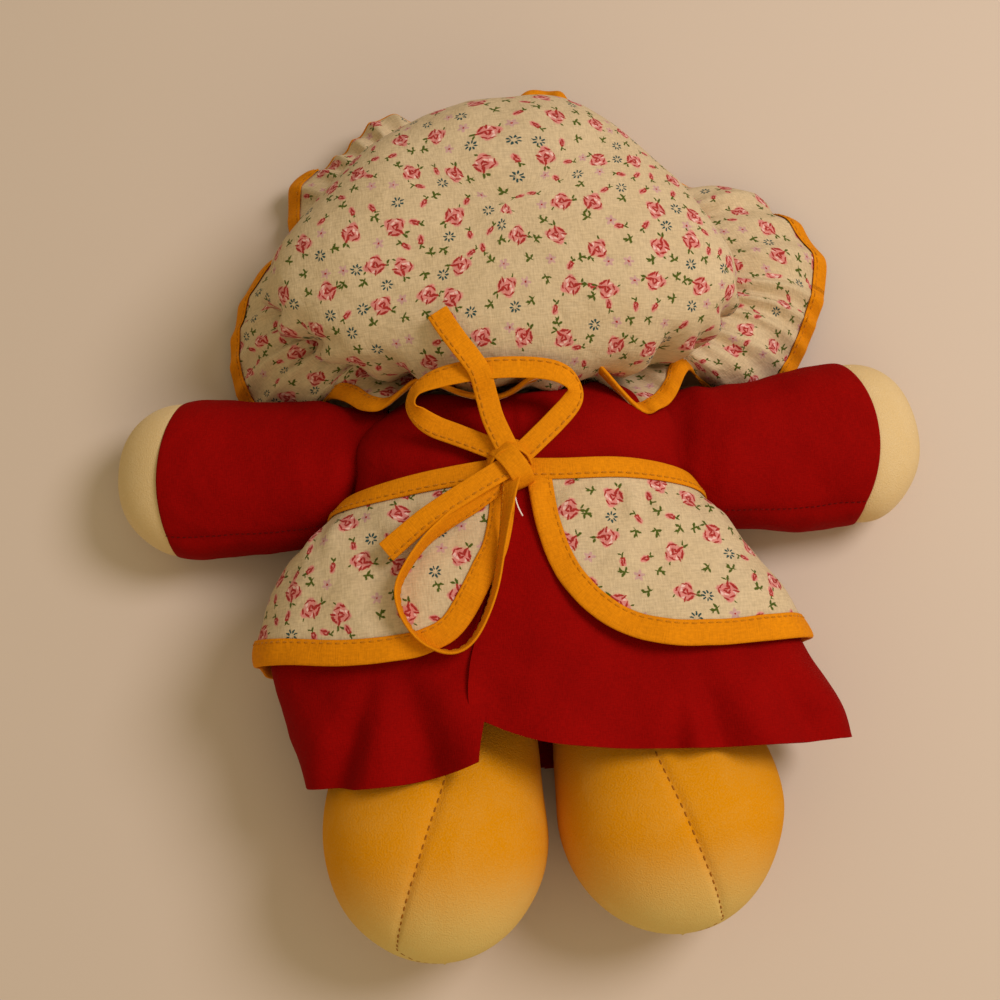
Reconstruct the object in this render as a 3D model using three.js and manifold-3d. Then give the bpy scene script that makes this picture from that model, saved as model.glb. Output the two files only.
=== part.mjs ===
// A cloth rag doll lying on its front: stuffed head, arms and boot legs, a red dress that
// laps over at the back, a printed apron tied there in a bow, and a printed mob cap.
// Millimetres. +Y runs up the body to the head, +X to the doll's right, +Z out of its back.
// The origin is the middle of the waist, on the surface that the doll lies on.

import * as THREE from "three";
import { mergeVertices } from "three/addons/utils/BufferGeometryUtils.js";
import Module from "manifold-3d";

// Cloth thicknesses and the clearance between neighbouring pieces
const COTTON = 1.2;
const VELOUR = 1.6;
const TAPE = 0.8;
const GAP = 0.4;
const EASE = 1.4;

// Torso: a stuffed bag sewn flat at the neck and at the seat
const TORSO_WIDTH = 122;
const TORSO_DEPTH = 66;
const CHEST_LENGTH = 42;
const SEAT_LENGTH = 52;
const NECK_WIDTH = 44;
const SEAM_ROUND = 5;

// Legs, with the boot foot in one piece
const LEG_WIDTH = 83;
const LEG_DEPTH = 77;
const LEG_LENGTH = 116;
const HIP_SPREAD = 72;
const FOOT_SPREAD = 88;
const LEG_SEAM_WIDTH = 44;

// Arms, with the mitten hand in one piece
const ARM_WIDTH = 62;
const ARM_DEPTH = 46;
const ARM_LENGTH = 95;
const ARM_SEAM_WIDTH = 24;
const ARM_DROP = 6;
const SHOULDER_Y = 18;
const SHOULDER_Z = 30;
const SLEEVE_LENGTH = 74;
const LEFT_ARM_RISE = 6;
const RIGHT_ARM_RISE = 0.5;

// Head
const HEAD_WIDTH = 151;
const HEAD_HEIGHT = 108;
const HEAD_DEPTH = 90;
const HEAD_TAPER = 0.444;
const JOWL_ROUND = 0.33;
const HEAD_TURN = -5;
const HEAD_TURN_Y = 80;
const SQUASH = 2;

// Dress
const SKIRT_LENGTH = 108;
const SKIRT_EASE = 16;
const BACK_EASE = 4;
const FRONT_FLAT = 1.02;
const FOLD_DEPTH = 4;
const FOLDS = 9;
const LAP_AT_WAIST = 8;
const LAP_AT_HEM = 27;
const LAP_HEM_RISE = 22;
const NECKLINE_SIDE_DROP = 6;
const NECKLINE_DROP = 16;
const WAIST_SEAM_DROP = 4;

// Apron and its tie
const APRON_LENGTH = 69;
const APRON_CORNER = 46;
const APRON_PARTING = 6;
const BINDING_WIDTH = 8;
const TIE_WIDTH = 8.5;
const KNOT_SIZE = 15;
const KNOT_X = -4;

// Cap
const CAP_EASE = 3.6;
const CAP_TILT = 16;
const CAP_DROP = 11;
const CROWN_PUFF = 1.085;
const CROWN_HEIGHT = 66;
const CROWN_SAG = 14;
const GATHERS = 22;
const GATHER_DEPTH = 2.4;
const CAP_BINDING = 6.5;
const ELASTIC = 1.6;
const FRILL_WAVES = 16;
const FRILL_DEPTH = 2;
const FRILL_BULGE = 0.16;

// Places that follow from the sizes above
const WAIST_Y = 0;
const NECK_Y = WAIST_Y + CHEST_LENGTH;
const SEAT_Y = WAIST_Y - SEAT_LENGTH;
const HIP_Y = SEAT_Y - SEAM_ROUND - GAP;
const HEM_Y = WAIST_Y - SKIRT_LENGTH;
const WAIST_SEAM_Y = WAIST_Y - WAIST_SEAM_DROP;
const APRON_TOP_Y = WAIST_Y + TIE_WIDTH / 2 - GAP;
const APRON_HEM_Y = WAIST_Y - APRON_LENGTH;
const TIE_LOW_Y = WAIST_Y - TIE_WIDTH / 2;
const LAYER = COTTON + GAP;
const EASED_LAYER = COTTON + EASE;
const TAPE_LAYER = TAPE + GAP;
const TORSO_Z = TORSO_DEPTH / 2 + 2 * EASED_LAYER;
const HEAD_Y = NECK_Y + HEAD_HEIGHT / 2;
const HEAD_Z = HEAD_DEPTH / 2 - SQUASH;
const LEG_Z = LEG_DEPTH / 2 - SQUASH;
const ARM_Z = ARM_DEPTH / 2 - SQUASH;
const TURN = 2 * Math.PI;

// The open end of a stuffed skin, inside the rounding of its seam
const LIP_REACH = 0.9 * SEAM_ROUND;
const LIP_HALF_DEPTH = 0.44 * SEAM_ROUND;

// Points round each stuffed form
const TORSO_SIDES = 24;
const HEAD_SIDES = 24;
const LEG_SIDES = 20;
const ARM_SIDES = 18;

const { clamp, degToRad, lerp, smoothstep } = THREE.MathUtils;
const wasm = await Module();
wasm.setup();

// Small helpers for smooth curves and rounded sections

// A smooth curve through [position, value] pairs, read at any position.
function profile(points) {
  const last = points.length - 1;
  const slopes = points.map((_, i) => {
    const [x0, y0] = points[Math.max(i - 1, 0)];
    const [x1, y1] = points[Math.min(i + 1, last)];
    return (y1 - y0) / (x1 - x0);
  });
  return (x) => {
    const found = points.findIndex((point) => point[0] > x);
    const i = found < 0 ? last : Math.max(found, 1);
    const [x0, y0] = points[i - 1];
    const [x1, y1] = points[i];
    const run = x1 - x0;
    const t = clamp((x - x0) / run, 0, 1);
    const near = 1 - t;
    const bend = t * near * run * (slopes[i - 1] * near - slopes[i] * t);
    return y0 * near * near * (1 + 2 * t) + y1 * t * t * (1 + 2 * near) + bend;
  };
}

// The closing of a rounded end: one up to start, then a quarter ellipse down to nothing.
function roundEnd(t, start) {
  const u = clamp((t - start) / (1 - start), 0, 1);
  return Math.sqrt(1 - u * u);
}

// A sine or cosine pushed outwards, so that a round section turns fuller at its corners.
function full(value, squareness) {
  return Math.sign(value) * Math.abs(value) ** (2 / squareness);
}

// One ring of a stuffed form: a full ellipse that lies flat on what is under it.
function ring(centre, across, halfAcross, up, halfUp, sides, floor = -Infinity) {
  return Array.from({ length: sides }, (_, k) => {
    const angle = (TURN * k) / sides;
    const point = centre.clone();
    point.addScaledVector(across, halfAcross * full(Math.cos(angle), 2.2));
    point.addScaledVector(up, halfUp * full(Math.sin(angle), 2.2));
    point.z = Math.max(point.z, floor);
    return point;
  });
}

// Skins over rings

// A closed body over a run of rings with the same number of points. Ends: "loop" joins the
// last ring to the first, "strip" closes a folded section across its two faces, and a pair
// of points closes each end with a fan to that point.
function loft(rings, ends) {
  const sides = rings[0].length;
  const points = rings.flat();
  const faces = [];
  const at = (i, k) => (i % rings.length) * sides + (k % sides);
  const spans = ends === "loop" ? rings.length : rings.length - 1;
  for (let i = 0; i < spans; i += 1) {
    for (let k = 0; k < sides; k += 1) {
      faces.push(at(i, k), at(i, k + 1), at(i + 1, k + 1));
      faces.push(at(i, k), at(i + 1, k + 1), at(i + 1, k));
    }
  }
  const tip = rings.length - 1;
  if (ends === "strip") {
    for (let k = 0; k < sides / 2 - 1; k += 1) {
      const far = sides - 1 - k;
      faces.push(at(0, k), at(0, far), at(0, far - 1));
      faces.push(at(0, k), at(0, far - 1), at(0, k + 1));
      faces.push(at(tip, k), at(tip, far - 1), at(tip, far));
      faces.push(at(tip, k), at(tip, k + 1), at(tip, far - 1));
    }
  } else if (ends !== "loop") {
    const first = points.push(ends[0]) - 1;
    const second = points.push(ends[1]) - 1;
    for (let k = 0; k < sides; k += 1) {
      faces.push(at(0, k + 1), at(0, k), first);
      faces.push(at(tip, k), at(tip, k + 1), second);
    }
  }
  return body(points, faces);
}

// A geometry whose faces look outwards whichever way the rings ran.
function body(points, faces) {
  let volume = 0;
  for (let i = 0; i < faces.length; i += 3) {
    const [a, b, c] = [points[faces[i]], points[faces[i + 1]], points[faces[i + 2]]];
    volume += a.dot(new THREE.Vector3().crossVectors(b, c));
  }
  const geometry = new THREE.BufferGeometry().setFromPoints(points);
  geometry.setIndex(volume < 0 ? faces.reverse() : faces);
  geometry.computeVertexNormals();
  return geometry;
}

function middle(points) {
  const sum = new THREE.Vector3();
  points.forEach((point) => sum.add(point));
  return sum.divideScalar(points.length);
}

// A stuffed piece and its filling. The form gives a ring for a share of the length and an
// inset from the outside, and the tip for an inset. The skin stays open at its seam end.
// Its hidden side has every second station, and the filling every second point there too.
function stuffed(form) {
  const outside = form.stations.map((t) => form.ring(t, 0)).reverse();
  const hidden = form.stations.filter((_, i) => i < 2 || i % 2 === 1);
  const inside = hidden.map((t) => form.ring(t, VELOUR));
  const packed = hidden.slice(form.fillFrom).map((t) =>
    form.ring(t, VELOUR + 2 * GAP).filter((_, k) => k % 2 === 0));
  return {
    skin: loft([...outside, form.lip(0), form.lip(VELOUR), ...inside], [form.tip(0), form.tip(VELOUR)]),
    fill: loft(packed, [middle(packed[0]), form.tip(VELOUR + 2 * GAP)]),
  };
}

// Shares of the length at which a stuffed form has its rings, closer together at the tip.
function stations(steps) {
  return Array.from({ length: steps }, (_, i) => Math.sin((i / steps) * (Math.PI / 2)));
}

// Layers under the front, from the resting surface up

// How far the apron's front is held off the surface by its binding and by its tie.
function apronFloor(y) {
  const tie = smoothstep(y, TIE_LOW_Y - 12, TIE_LOW_Y - 2);
  const hem = 1 - smoothstep(y, APRON_HEM_Y + BINDING_WIDTH + 4, APRON_HEM_Y + BINDING_WIDTH + 14);
  return Math.max((TAPE + EASE) * tie, TAPE_LAYER * hem);
}

function dressFloor(y) {
  return apronFloor(y) + EASED_LAYER;
}

function torsoFloor(y) {
  return dressFloor(y) + EASED_LAYER;
}

function legFloor(y) {
  return torsoFloor(y) * smoothstep(y, HEM_Y - 20, HEM_Y - 8);
}

// Torso

const torsoShare = (y) => (y - SEAT_Y) / (NECK_Y - SEAT_Y);
const torsoWidths = profile([
  [0, 0.95],
  [0.2, 1],
  [0.55, 0.93],
  [0.76, 0.93],
  [0.9, 0.66],
  [1, NECK_WIDTH / TORSO_WIDTH],
]);
const torsoDepths = profile([
  [0, (2 * SEAM_ROUND) / TORSO_DEPTH],
  [0.1, 0.42],
  [0.3, 0.86],
  [0.5, 1],
  [0.72, 0.9],
  [0.86, 0.5],
  [0.93, 0.2],
  [1, (2 * SEAM_ROUND) / TORSO_DEPTH],
]);
const torsoHalfWidth = (y) => (torsoWidths(torsoShare(y)) * TORSO_WIDTH) / 2;
const torsoHalfDepth = (y) => (torsoDepths(torsoShare(y)) * TORSO_DEPTH) / 2;
const X = new THREE.Vector3(1, 0, 0);
const Y = new THREE.Vector3(0, 1, 0);
const Z = new THREE.Vector3(0, 0, 1);

function torsoRing(y, inset) {
  const centre = new THREE.Vector3(0, y, TORSO_Z);
  const halfWidth = torsoHalfWidth(y) - inset;
  const halfDepth = torsoHalfDepth(y) - inset;
  return ring(centre, X, halfWidth, Z, halfDepth, TORSO_SIDES, torsoFloor(y) + inset);
}

// The lip is the rounded neck tab, which stands inside the opening of the head.
const torsoForm = {
  stations: Array.from({ length: 12 }, (_, i) => i / 11),
  fillFrom: 2,
  ring: (t, inset) => torsoRing(lerp(NECK_Y, SEAT_Y + inset, t), inset),
  lip: (inset) => {
    const centre = new THREE.Vector3(0, NECK_Y + LIP_REACH, TORSO_Z);
    const halfDepth = LIP_HALF_DEPTH - inset;
    return ring(centre, X, NECK_WIDTH / 2 - 1 - inset, Z, halfDepth, TORSO_SIDES);
  },
  tip: (inset) => new THREE.Vector3(0, SEAT_Y + inset, TORSO_Z),
};

// Legs

const legWidths = profile([
  [0, LEG_SEAM_WIDTH / LEG_WIDTH],
  [0.2, 0.78],
  [0.45, 0.95],
  [0.68, 1],
  [1, 1],
]);
const legDepths = profile([
  [0, (2 * SEAM_ROUND) / LEG_DEPTH],
  [0.08, 0.2],
  [0.22, 0.5],
  [0.4, 0.82],
  [0.62, 1],
  [1, 1],
]);

function legForm(side) {
  const place = (t, inset) => {
    const x = lerp(HIP_SPREAD, FOOT_SPREAD, smoothstep(t, 0, 0.6)) / 2;
    const z = lerp(TORSO_Z, LEG_Z, smoothstep(t, 0, 0.6));
    return new THREE.Vector3(side * x, HIP_Y - t * (LEG_LENGTH - inset), z);
  };
  return {
    stations: stations(11),
    fillFrom: 1,
    ring: (t, inset) => {
      const centre = place(t, inset);
      const halfWidth = (legWidths(t) * roundEnd(t, 0.58) * LEG_WIDTH) / 2 - inset;
      const halfDepth = (legDepths(t) * roundEnd(t, 0.58) * LEG_DEPTH) / 2 - inset;
      return ring(centre, X, halfWidth, Z, halfDepth, LEG_SIDES, legFloor(centre.y) + inset);
    },
    lip: (inset) => {
      const centre = place(0, inset);
      centre.y += LIP_REACH;
      const halfDepth = LIP_HALF_DEPTH - inset;
      return ring(centre, X, LEG_SEAM_WIDTH / 2 - 1 - inset, Z, halfDepth, LEG_SIDES);
    },
    tip: (inset) => place(1, inset),
  };
}

// Arms. The shoulder seam is a flat tab whose round end turns beside the torso.

const armWidths = profile([
  [0, ARM_SEAM_WIDTH / ARM_WIDTH],
  [0.12, 0.5],
  [0.28, 0.8],
  [0.5, 0.95],
  [0.75, 1],
  [1, 1],
]);
const armDepths = profile([
  [0, (2 * SEAM_ROUND) / ARM_DEPTH],
  [0.1, 0.46],
  [0.24, 0.8],
  [0.45, 0.98],
  [0.7, 1],
  [1, 1],
]);
const shoulderReach = Array.from({ length: 9 }, (_, i) => {
  const y = SHOULDER_Y + ((i - 4) * ARM_SEAM_WIDTH) / 8;
  const rise = clamp((SHOULDER_Z - TORSO_Z) / torsoHalfDepth(y), -1, 1);
  return torsoHalfWidth(y) * (1 - Math.abs(rise) ** 2.2) ** (1 / 2.2);
});
const SHOULDER_X = Math.max(...shoulderReach) + GAP + SEAM_ROUND;

const sleeveEnds = [(SEAM_ROUND + LAYER) / ARM_LENGTH, SLEEVE_LENGTH / ARM_LENGTH];

function armForm(side, riseDegrees) {
  const angle = degToRad(riseDegrees);
  const out = new THREE.Vector3(side * Math.cos(angle), Math.sin(angle), 0);
  const across = new THREE.Vector3(-side * Math.sin(angle), Math.cos(angle), 0);
  const place = (t, inset) => {
    const centre = new THREE.Vector3(side * SHOULDER_X, SHOULDER_Y, SHOULDER_Z);
    centre.addScaledVector(out, t * (ARM_LENGTH - inset));
    centre.y -= ARM_DROP * smoothstep(t, 0, 0.4);
    centre.z = lerp(SHOULDER_Z, ARM_Z, smoothstep(t, 0, 0.6));
    return centre;
  };
  const armFloor = (t) => LAYER * smoothstep(SLEEVE_LENGTH + 6 - t * ARM_LENGTH, 0, 4);
  return {
    stations: [...stations(9), ...sleeveEnds].sort((a, b) => a - b),
    fillFrom: 2,
    ring: (t, inset) => {
      const halfWidth = (armWidths(t) * roundEnd(t, 0.74) * ARM_WIDTH) / 2 - inset;
      const halfDepth = (armDepths(t) * roundEnd(t, 0.74) * ARM_DEPTH) / 2 - inset;
      const floor = armFloor(t) + inset;
      return ring(place(t, inset), across, halfWidth, Z, halfDepth, ARM_SIDES, floor);
    },
    lip: (inset) => {
      const centre = place(0, inset).addScaledVector(out, -LIP_REACH);
      const halfDepth = LIP_HALF_DEPTH - inset;
      return ring(centre, across, ARM_SEAM_WIDTH / 2 - inset, Z, halfDepth, ARM_SIDES);
    },
    tip: (inset) => place(1, inset),
  };
}

// The sleeve is a cloth tube over the arm, from beside the shoulder seam to the wrist.
function sleeve(form) {
  const covered = form.stations.filter((t) => t >= sleeveEnds[0] && t <= sleeveEnds[1]);
  const rings = (inset) => covered.map((t) => form.ring(t, inset));
  return loft([...rings(-LAYER), ...rings(-GAP).reverse()], "loop");
}

// Head. Its opening stands round the neck tab.

const HEAD_FULL = 2.1;
const headOpening = [NECK_WIDTH / 2 + GAP + VELOUR, SEAM_ROUND + EASE + VELOUR];
const headPivot = new THREE.Vector3(0, HEAD_TURN_Y, 0);

// The head narrows to the forehead and rounds off at the jowls: its share of the width at a
// share of the way up from the middle.
function cheeks(up) {
  return 1 - HEAD_TAPER * up - JOWL_ROUND * Math.min(up, 0) ** 2;
}

// The head lies a little askew.
function askew(point, share = 1) {
  return point.sub(headPivot).applyAxisAngle(Z, degToRad(HEAD_TURN) * share).add(headPivot);
}

function headRing(t, inset) {
  const share = (1 - Math.abs(2 * t - 1) ** HEAD_FULL) ** (1 / HEAD_FULL);
  const swell = smoothstep(t, 0, 0.5);
  const centre = new THREE.Vector3(0, lerp(NECK_Y, NECK_Y + HEAD_HEIGHT - inset, t), 0);
  centre.z = lerp(TORSO_Z, HEAD_Z, swell);
  const halfWidth = Math.max((share * cheeks(2 * t - 1) * HEAD_WIDTH) / 2, headOpening[0] * (1 - swell));
  const halfDepth = Math.max((share * HEAD_DEPTH) / 2, headOpening[1] * (1 - swell));
  return ring(centre, X, halfWidth - inset, Z, halfDepth - inset, HEAD_SIDES, inset)
    .map((point) => askew(point, smoothstep(t, 0, 0.04)));
}

const headForm = {
  stations: stations(12),
  fillFrom: 2,
  ring: headRing,
  lip: (inset) => headRing(0, inset),
  tip: (inset) => askew(new THREE.Vector3(0, NECK_Y + HEAD_HEIGHT - inset, HEAD_Z)),
};

// Dress: one surface round the body, read at an angle from the middle of the back over the
// doll's left and at a height. The skirt widens to clear the legs.

const HEM_HALF_WIDTH = FOOT_SPREAD / 2 + LEG_WIDTH / 2 + SKIRT_EASE;
const HEM_TOP = Math.max(LEG_Z + LEG_DEPTH / 2, TORSO_Z + TORSO_DEPTH / 2) + BACK_EASE;

// The skirt's left hangs in below the apron and its right swings out to the hem.
const leftFlare = profile([
  [0, 0],
  [0.1, 0.28],
  [0.19, 0.6],
  [0.32, 0.86],
  [0.46, 0.94],
  [0.61, 0.93],
  [0.79, 0.8],
  [1, 0.66],
]);
const rightFlare = profile([
  [0, 0],
  [0.1, 0.22],
  [0.19, 0.36],
  [0.32, 0.55],
  [0.46, 0.7],
  [0.61, 0.87],
  [0.79, 1.08],
  [1, 1.24],
]);

function dressSection(y, right = false) {
  const waist = Math.max(y, WAIST_Y);
  const drop = clamp((WAIST_Y - y) / SKIRT_LENGTH, 0, 1);
  const flare = (right ? rightFlare : leftFlare)(drop);
  const halfWidth = lerp(torsoHalfWidth(waist) + EASE, HEM_HALF_WIDTH, flare);
  const spread = smoothstep(drop, 0, 0.6);
  const top = lerp(TORSO_Z + torsoHalfDepth(waist) + EASE, HEM_TOP, smoothstep(drop, 0, 0.55));
  const under = Math.max(TORSO_Z - torsoHalfDepth(waist) - EASE, dressFloor(y) + COTTON);
  const low = lerp(under, dressFloor(y) + COTTON, smoothstep(drop, 0, 0.12));
  return {
    halfWidth,
    middle: (top + low) / 2,
    half: (top - low) / 2,
    squareness: lerp(2.2, 2.5, spread),
    frontSquareness: lerp(2.2, 6, spread),
  };
}

function dressAt(angle, y) {
  const { halfWidth, middle: centre, half, ...corners } = dressSection(y, Math.sin(angle) < 0);
  const squareness = Math.cos(angle) < 0 ? corners.frontSquareness : corners.squareness;
  const drop = clamp((WAIST_Y - y) / SKIRT_LENGTH, 0, 1);
  const loose = smoothstep(Math.cos(angle), -0.75, 0.1);
  const fold = FOLD_DEPTH * drop * drop * loose * (0.5 + 0.5 * Math.cos(FOLDS * angle));
  const side = (halfWidth + fold) * full(Math.sin(angle), squareness);
  const rise = full(Math.cos(angle), squareness);
  const z = rise < 0 ? Math.max(FRONT_FLAT * rise, -1) * half : rise * (half + fold);
  return new THREE.Vector3(-side, y, centre + z);
}

// The dress surface pushed outwards along its own normal.
function offDress(angle, y, offset) {
  const step = 0.01;
  const round = dressAt(angle + step, y).sub(dressAt(angle - step, y));
  const down = dressAt(angle, y - step).sub(dressAt(angle, y + step));
  const normal = new THREE.Vector3().crossVectors(round, down).normalize();
  return dressAt(angle, y).addScaledVector(normal, offset);
}

// The angle at which the dress stands a given distance from the middle of the back.
function backAngle(distance, y) {
  const { halfWidth, squareness } = dressSection(y);
  return Math.asin(clamp(distance / halfWidth, 0, 1) ** (squareness / 2));
}

// A cloth piece on the dress surface: a folded section for each step round the body.
function clothPiece({ columns, rows, angleAt, edgeAt, topAt, offsetAt }) {
  const sections = Array.from({ length: columns + 1 }, (_, i) => {
    const share = i / columns;
    const faces = [COTTON, 0].map((thickness) =>
      Array.from({ length: rows + 1 }, (_, j) => {
        const y = lerp(topAt(share), edgeAt(share), j / rows);
        const angle = angleAt(share, y);
        return offDress(angle, y, offsetAt(angle) + thickness);
      }));
    return [...faces[0], ...faces[1].reverse()];
  });
  return loft(sections, "strip");
}

// The right back of the dress lies over the left, so it winds outwards by one layer.
const LAP_START = degToRad(290);
const lapOf = (angle) => LAYER * smoothstep(angle, LAP_START, degToRad(352));
const lapEdge = (y) => {
  const drop = clamp((WAIST_Y - y) / SKIRT_LENGTH, 0, 1);
  return lerp(LAP_AT_WAIST, LAP_AT_HEM, drop);
};
const dressAngle = (share, y) =>
  lerp(backAngle(GAP, y), TURN + backAngle(lapEdge(y), y), share);
const skirtEdge = (share) => HEM_Y + LAP_HEM_RISE * smoothstep(share, 0.86, 1);

function skirt() {
  return clothPiece({
    columns: 48,
    rows: 9,
    angleAt: dressAngle,
    topAt: () => WAIST_SEAM_Y - GAP,
    edgeAt: skirtEdge,
    offsetAt: lapOf,
  });
}

// The neck edge is scooped at the front and back and high over the shoulders.
function neckline(share) {
  return NECK_Y - lerp(NECKLINE_SIDE_DROP, NECKLINE_DROP, Math.cos(TURN * share) ** 2);
}

// The bodice has an armhole for each shoulder seam.
function bodice() {
  const whole = clothPiece({
    columns: 36,
    rows: 5,
    angleAt: dressAngle,
    topAt: neckline,
    edgeAt: () => WAIST_SEAM_Y,
    offsetAt: lapOf,
  });
  const ends = [-1, 1].map((side) => new THREE.Vector3(side * TORSO_WIDTH, SHOULDER_Y, SHOULDER_Z));
  const hole = loft(ends.map((end) =>
    ring(end, Y, ARM_SEAM_WIDTH / 2 + 2 * GAP, Z, SEAM_ROUND + EASED_LAYER, ARM_SIDES)), ends);
  return cut(whole, hole);
}

function toManifold(geometry) {
  const plain = geometry.clone();
  plain.deleteAttribute("normal");
  plain.deleteAttribute("uv");
  const welded = mergeVertices(plain, 1e-4);
  return new wasm.Manifold(new wasm.Mesh({
    numProp: 3,
    vertProperties: new Float32Array(welded.attributes.position.array),
    triVerts: new Uint32Array(welded.index.array),
  }));
}

function cut(geometry, tool) {
  const mesh = toManifold(geometry).subtract(toManifold(tool)).getMesh();
  const result = new THREE.BufferGeometry();
  result.setAttribute("position", new THREE.BufferAttribute(mesh.vertProperties, 3));
  result.setIndex(new THREE.BufferAttribute(mesh.triVerts, 1));
  result.computeVertexNormals();
  return result;
}

// Apron: it lies over the skirt, parts at the back and has a round corner on each side.

const overLap = (angle) => {
  const turned = ((angle % TURN) + TURN) % TURN;
  const left = 1 - smoothstep(turned, degToRad(25), degToRad(60));
  return LAYER * Math.max(left, smoothstep(turned, LAP_START, degToRad(340)));
};
const apronOff = (angle) => EASED_LAYER + overLap(angle);
const partAngle = backAngle(APRON_PARTING / 2, WAIST_Y);
const apronShare = (share) => lerp(partAngle, TURN - partAngle, 0.5 - 0.5 * Math.cos(Math.PI * share));

function apronEdge(angle) {
  const { halfWidth, squareness } = dressSection(APRON_HEM_Y / 2, Math.sin(angle) < 0);
  const fromMiddle = halfWidth * full(Math.abs(Math.sin(angle)), squareness) - APRON_PARTING / 2;
  if (Math.cos(angle) < 0 || fromMiddle > APRON_CORNER) {
    return APRON_HEM_Y;
  }
  const round = Math.sqrt(1 - (1 - fromMiddle / APRON_CORNER) ** 2);
  return lerp(TIE_LOW_Y - 2 * GAP, APRON_HEM_Y, round);
}

function apron() {
  return clothPiece({
    columns: 42,
    rows: 7,
    angleAt: apronShare,
    topAt: () => APRON_TOP_Y,
    edgeAt: (share) => apronEdge(apronShare(share)),
    offsetAt: apronOff,
  });
}

// Binding: a tape folded over a cloth edge. A place on the cloth's outer face is a function
// of how far it is lifted off that face: one place on the edge and one further in.
function bindingSection(edge, inner) {
  const into = inner(0).sub(edge(0)).normalize();
  const fold = (lift, beyond) => edge(lift).addScaledVector(into, -beyond);
  return [
    inner(GAP),
    fold(GAP, GAP),
    fold(-COTTON, GAP),
    fold(-COTTON, TAPE_LAYER),
    fold(TAPE_LAYER, TAPE_LAYER),
    inner(TAPE_LAYER),
  ];
}

function apronBinding() {
  const steps = 62;
  const sections = Array.from({ length: steps + 1 }, (_, i) => {
    const angle = apronShare(i / steps);
    const turned = lerp(angle, Math.PI, 0.02);
    const y = apronEdge(angle);
    const edge = (lift) => offDress(angle, y, apronOff(angle) + COTTON + lift);
    const inner = (lift) => offDress(turned, y + BINDING_WIDTH, apronOff(turned) + COTTON + lift);
    return bindingSection(edge, inner);
  });
  return loft(sections, "strip");
}

// The tie round the waist, over the top edge of the apron, from knot to knot.
function waistTie() {
  const steps = 44;
  const start = backAngle(KNOT_SIZE / 2 + GAP, WAIST_Y);
  const sections = Array.from({ length: steps + 1 }, (_, i) => {
    const angle = lerp(start, TURN - start, i / steps);
    const base = apronOff(angle) + EASED_LAYER;
    const spot = (y, lift) => offDress(angle, y, base + lift);
    const high = WAIST_Y + TIE_WIDTH / 2;
    return [spot(high, TAPE), spot(TIE_LOW_Y, TAPE), spot(TIE_LOW_Y, 0), spot(high, 0)];
  });
  return loft(sections, "strip");
}

// Bow

const backHeight = (x, y) => {
  const { halfWidth, middle: centre, half, squareness } =
    dressSection(Math.min(y, NECK_Y - NECKLINE_DROP), x > 0);
  const share = clamp(Math.abs(x) / halfWidth, 0, 1);
  return centre + half * (1 - share ** squareness) ** (1 / squareness) + 3 * EASED_LAYER;
};
const KNOT = new THREE.Vector3(KNOT_X, WAIST_Y, backHeight(0, WAIST_Y) + KNOT_SIZE / 4);

function knot() {
  const shape = new THREE.SphereGeometry(KNOT_SIZE / 2, 12, 8);
  shape.scale(0.96, 1, 0.5);
  shape.translate(KNOT.x, KNOT.y, KNOT.z);
  return body(...welded(shape));
}

function welded(geometry) {
  geometry.deleteAttribute("normal");
  geometry.deleteAttribute("uv");
  const merged = mergeVertices(geometry, 1e-4);
  const place = merged.attributes.position;
  const points = Array.from({ length: place.count }, (_, i) =>
    new THREE.Vector3().fromBufferAttribute(place, i));
  const faces = [];
  for (let i = 0; i < merged.index.count; i += 3) {
    const [a, b, c] = [0, 1, 2].map((k) => merged.index.getX(i + k));
    if (a !== b && b !== c && c !== a) {
      faces.push(a, b, c);
    }
  }
  return [points, faces];
}

// Cap

const CAP_Z = HEAD_Z - CAP_DROP;
const FOREHEAD_FULL = 2.7;
const capHalf = [HEAD_WIDTH / 2 + CAP_EASE, HEAD_HEIGHT / 2 + CAP_EASE];
const crownOutline = new THREE.SplineCurve([
  new THREE.Vector2(1, 0),
  new THREE.Vector2(0.4 + 0.6 * CROWN_PUFF, 0.14),
  new THREE.Vector2(CROWN_PUFF, 0.36),
  new THREE.Vector2(0.93 * CROWN_PUFF, 0.66),
  new THREE.Vector2(0.7 * CROWN_PUFF, 0.87),
  new THREE.Vector2(0.36 * CROWN_PUFF, 0.97),
  new THREE.Vector2(0, 1),
]);

// A point of the cap: an angle round the face opening, a share of the opening's size and a
// height above it. The opening leans from the forehead back to the nape.
function straightCap(angle, share, height, spread = 0) {
  const rise = clamp(height / CROWN_HEIGHT, 0, 1);
  const tilt = degToRad(CAP_TILT) * (1 - rise);
  const squareness = Math.sin(angle) < 0 ? HEAD_FULL : FOREHEAD_FULL;
  const along = (capHalf[1] * share + spread) * full(Math.sin(angle), squareness);
  const width = capHalf[0] * cheeks(along / capHalf[1]) * share + spread;
  const across = width * full(Math.cos(angle), squareness);
  return new THREE.Vector3(
    across,
    HEAD_Y + along * Math.cos(tilt) + height * Math.sin(tilt) - CROWN_SAG * rise * (1 - rise),
    CAP_Z - along * Math.sin(tilt) + height * Math.cos(tilt));
}

const capAt = (angle, share, height, spread = 0) => askew(straightCap(angle, share, height, spread));

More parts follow.
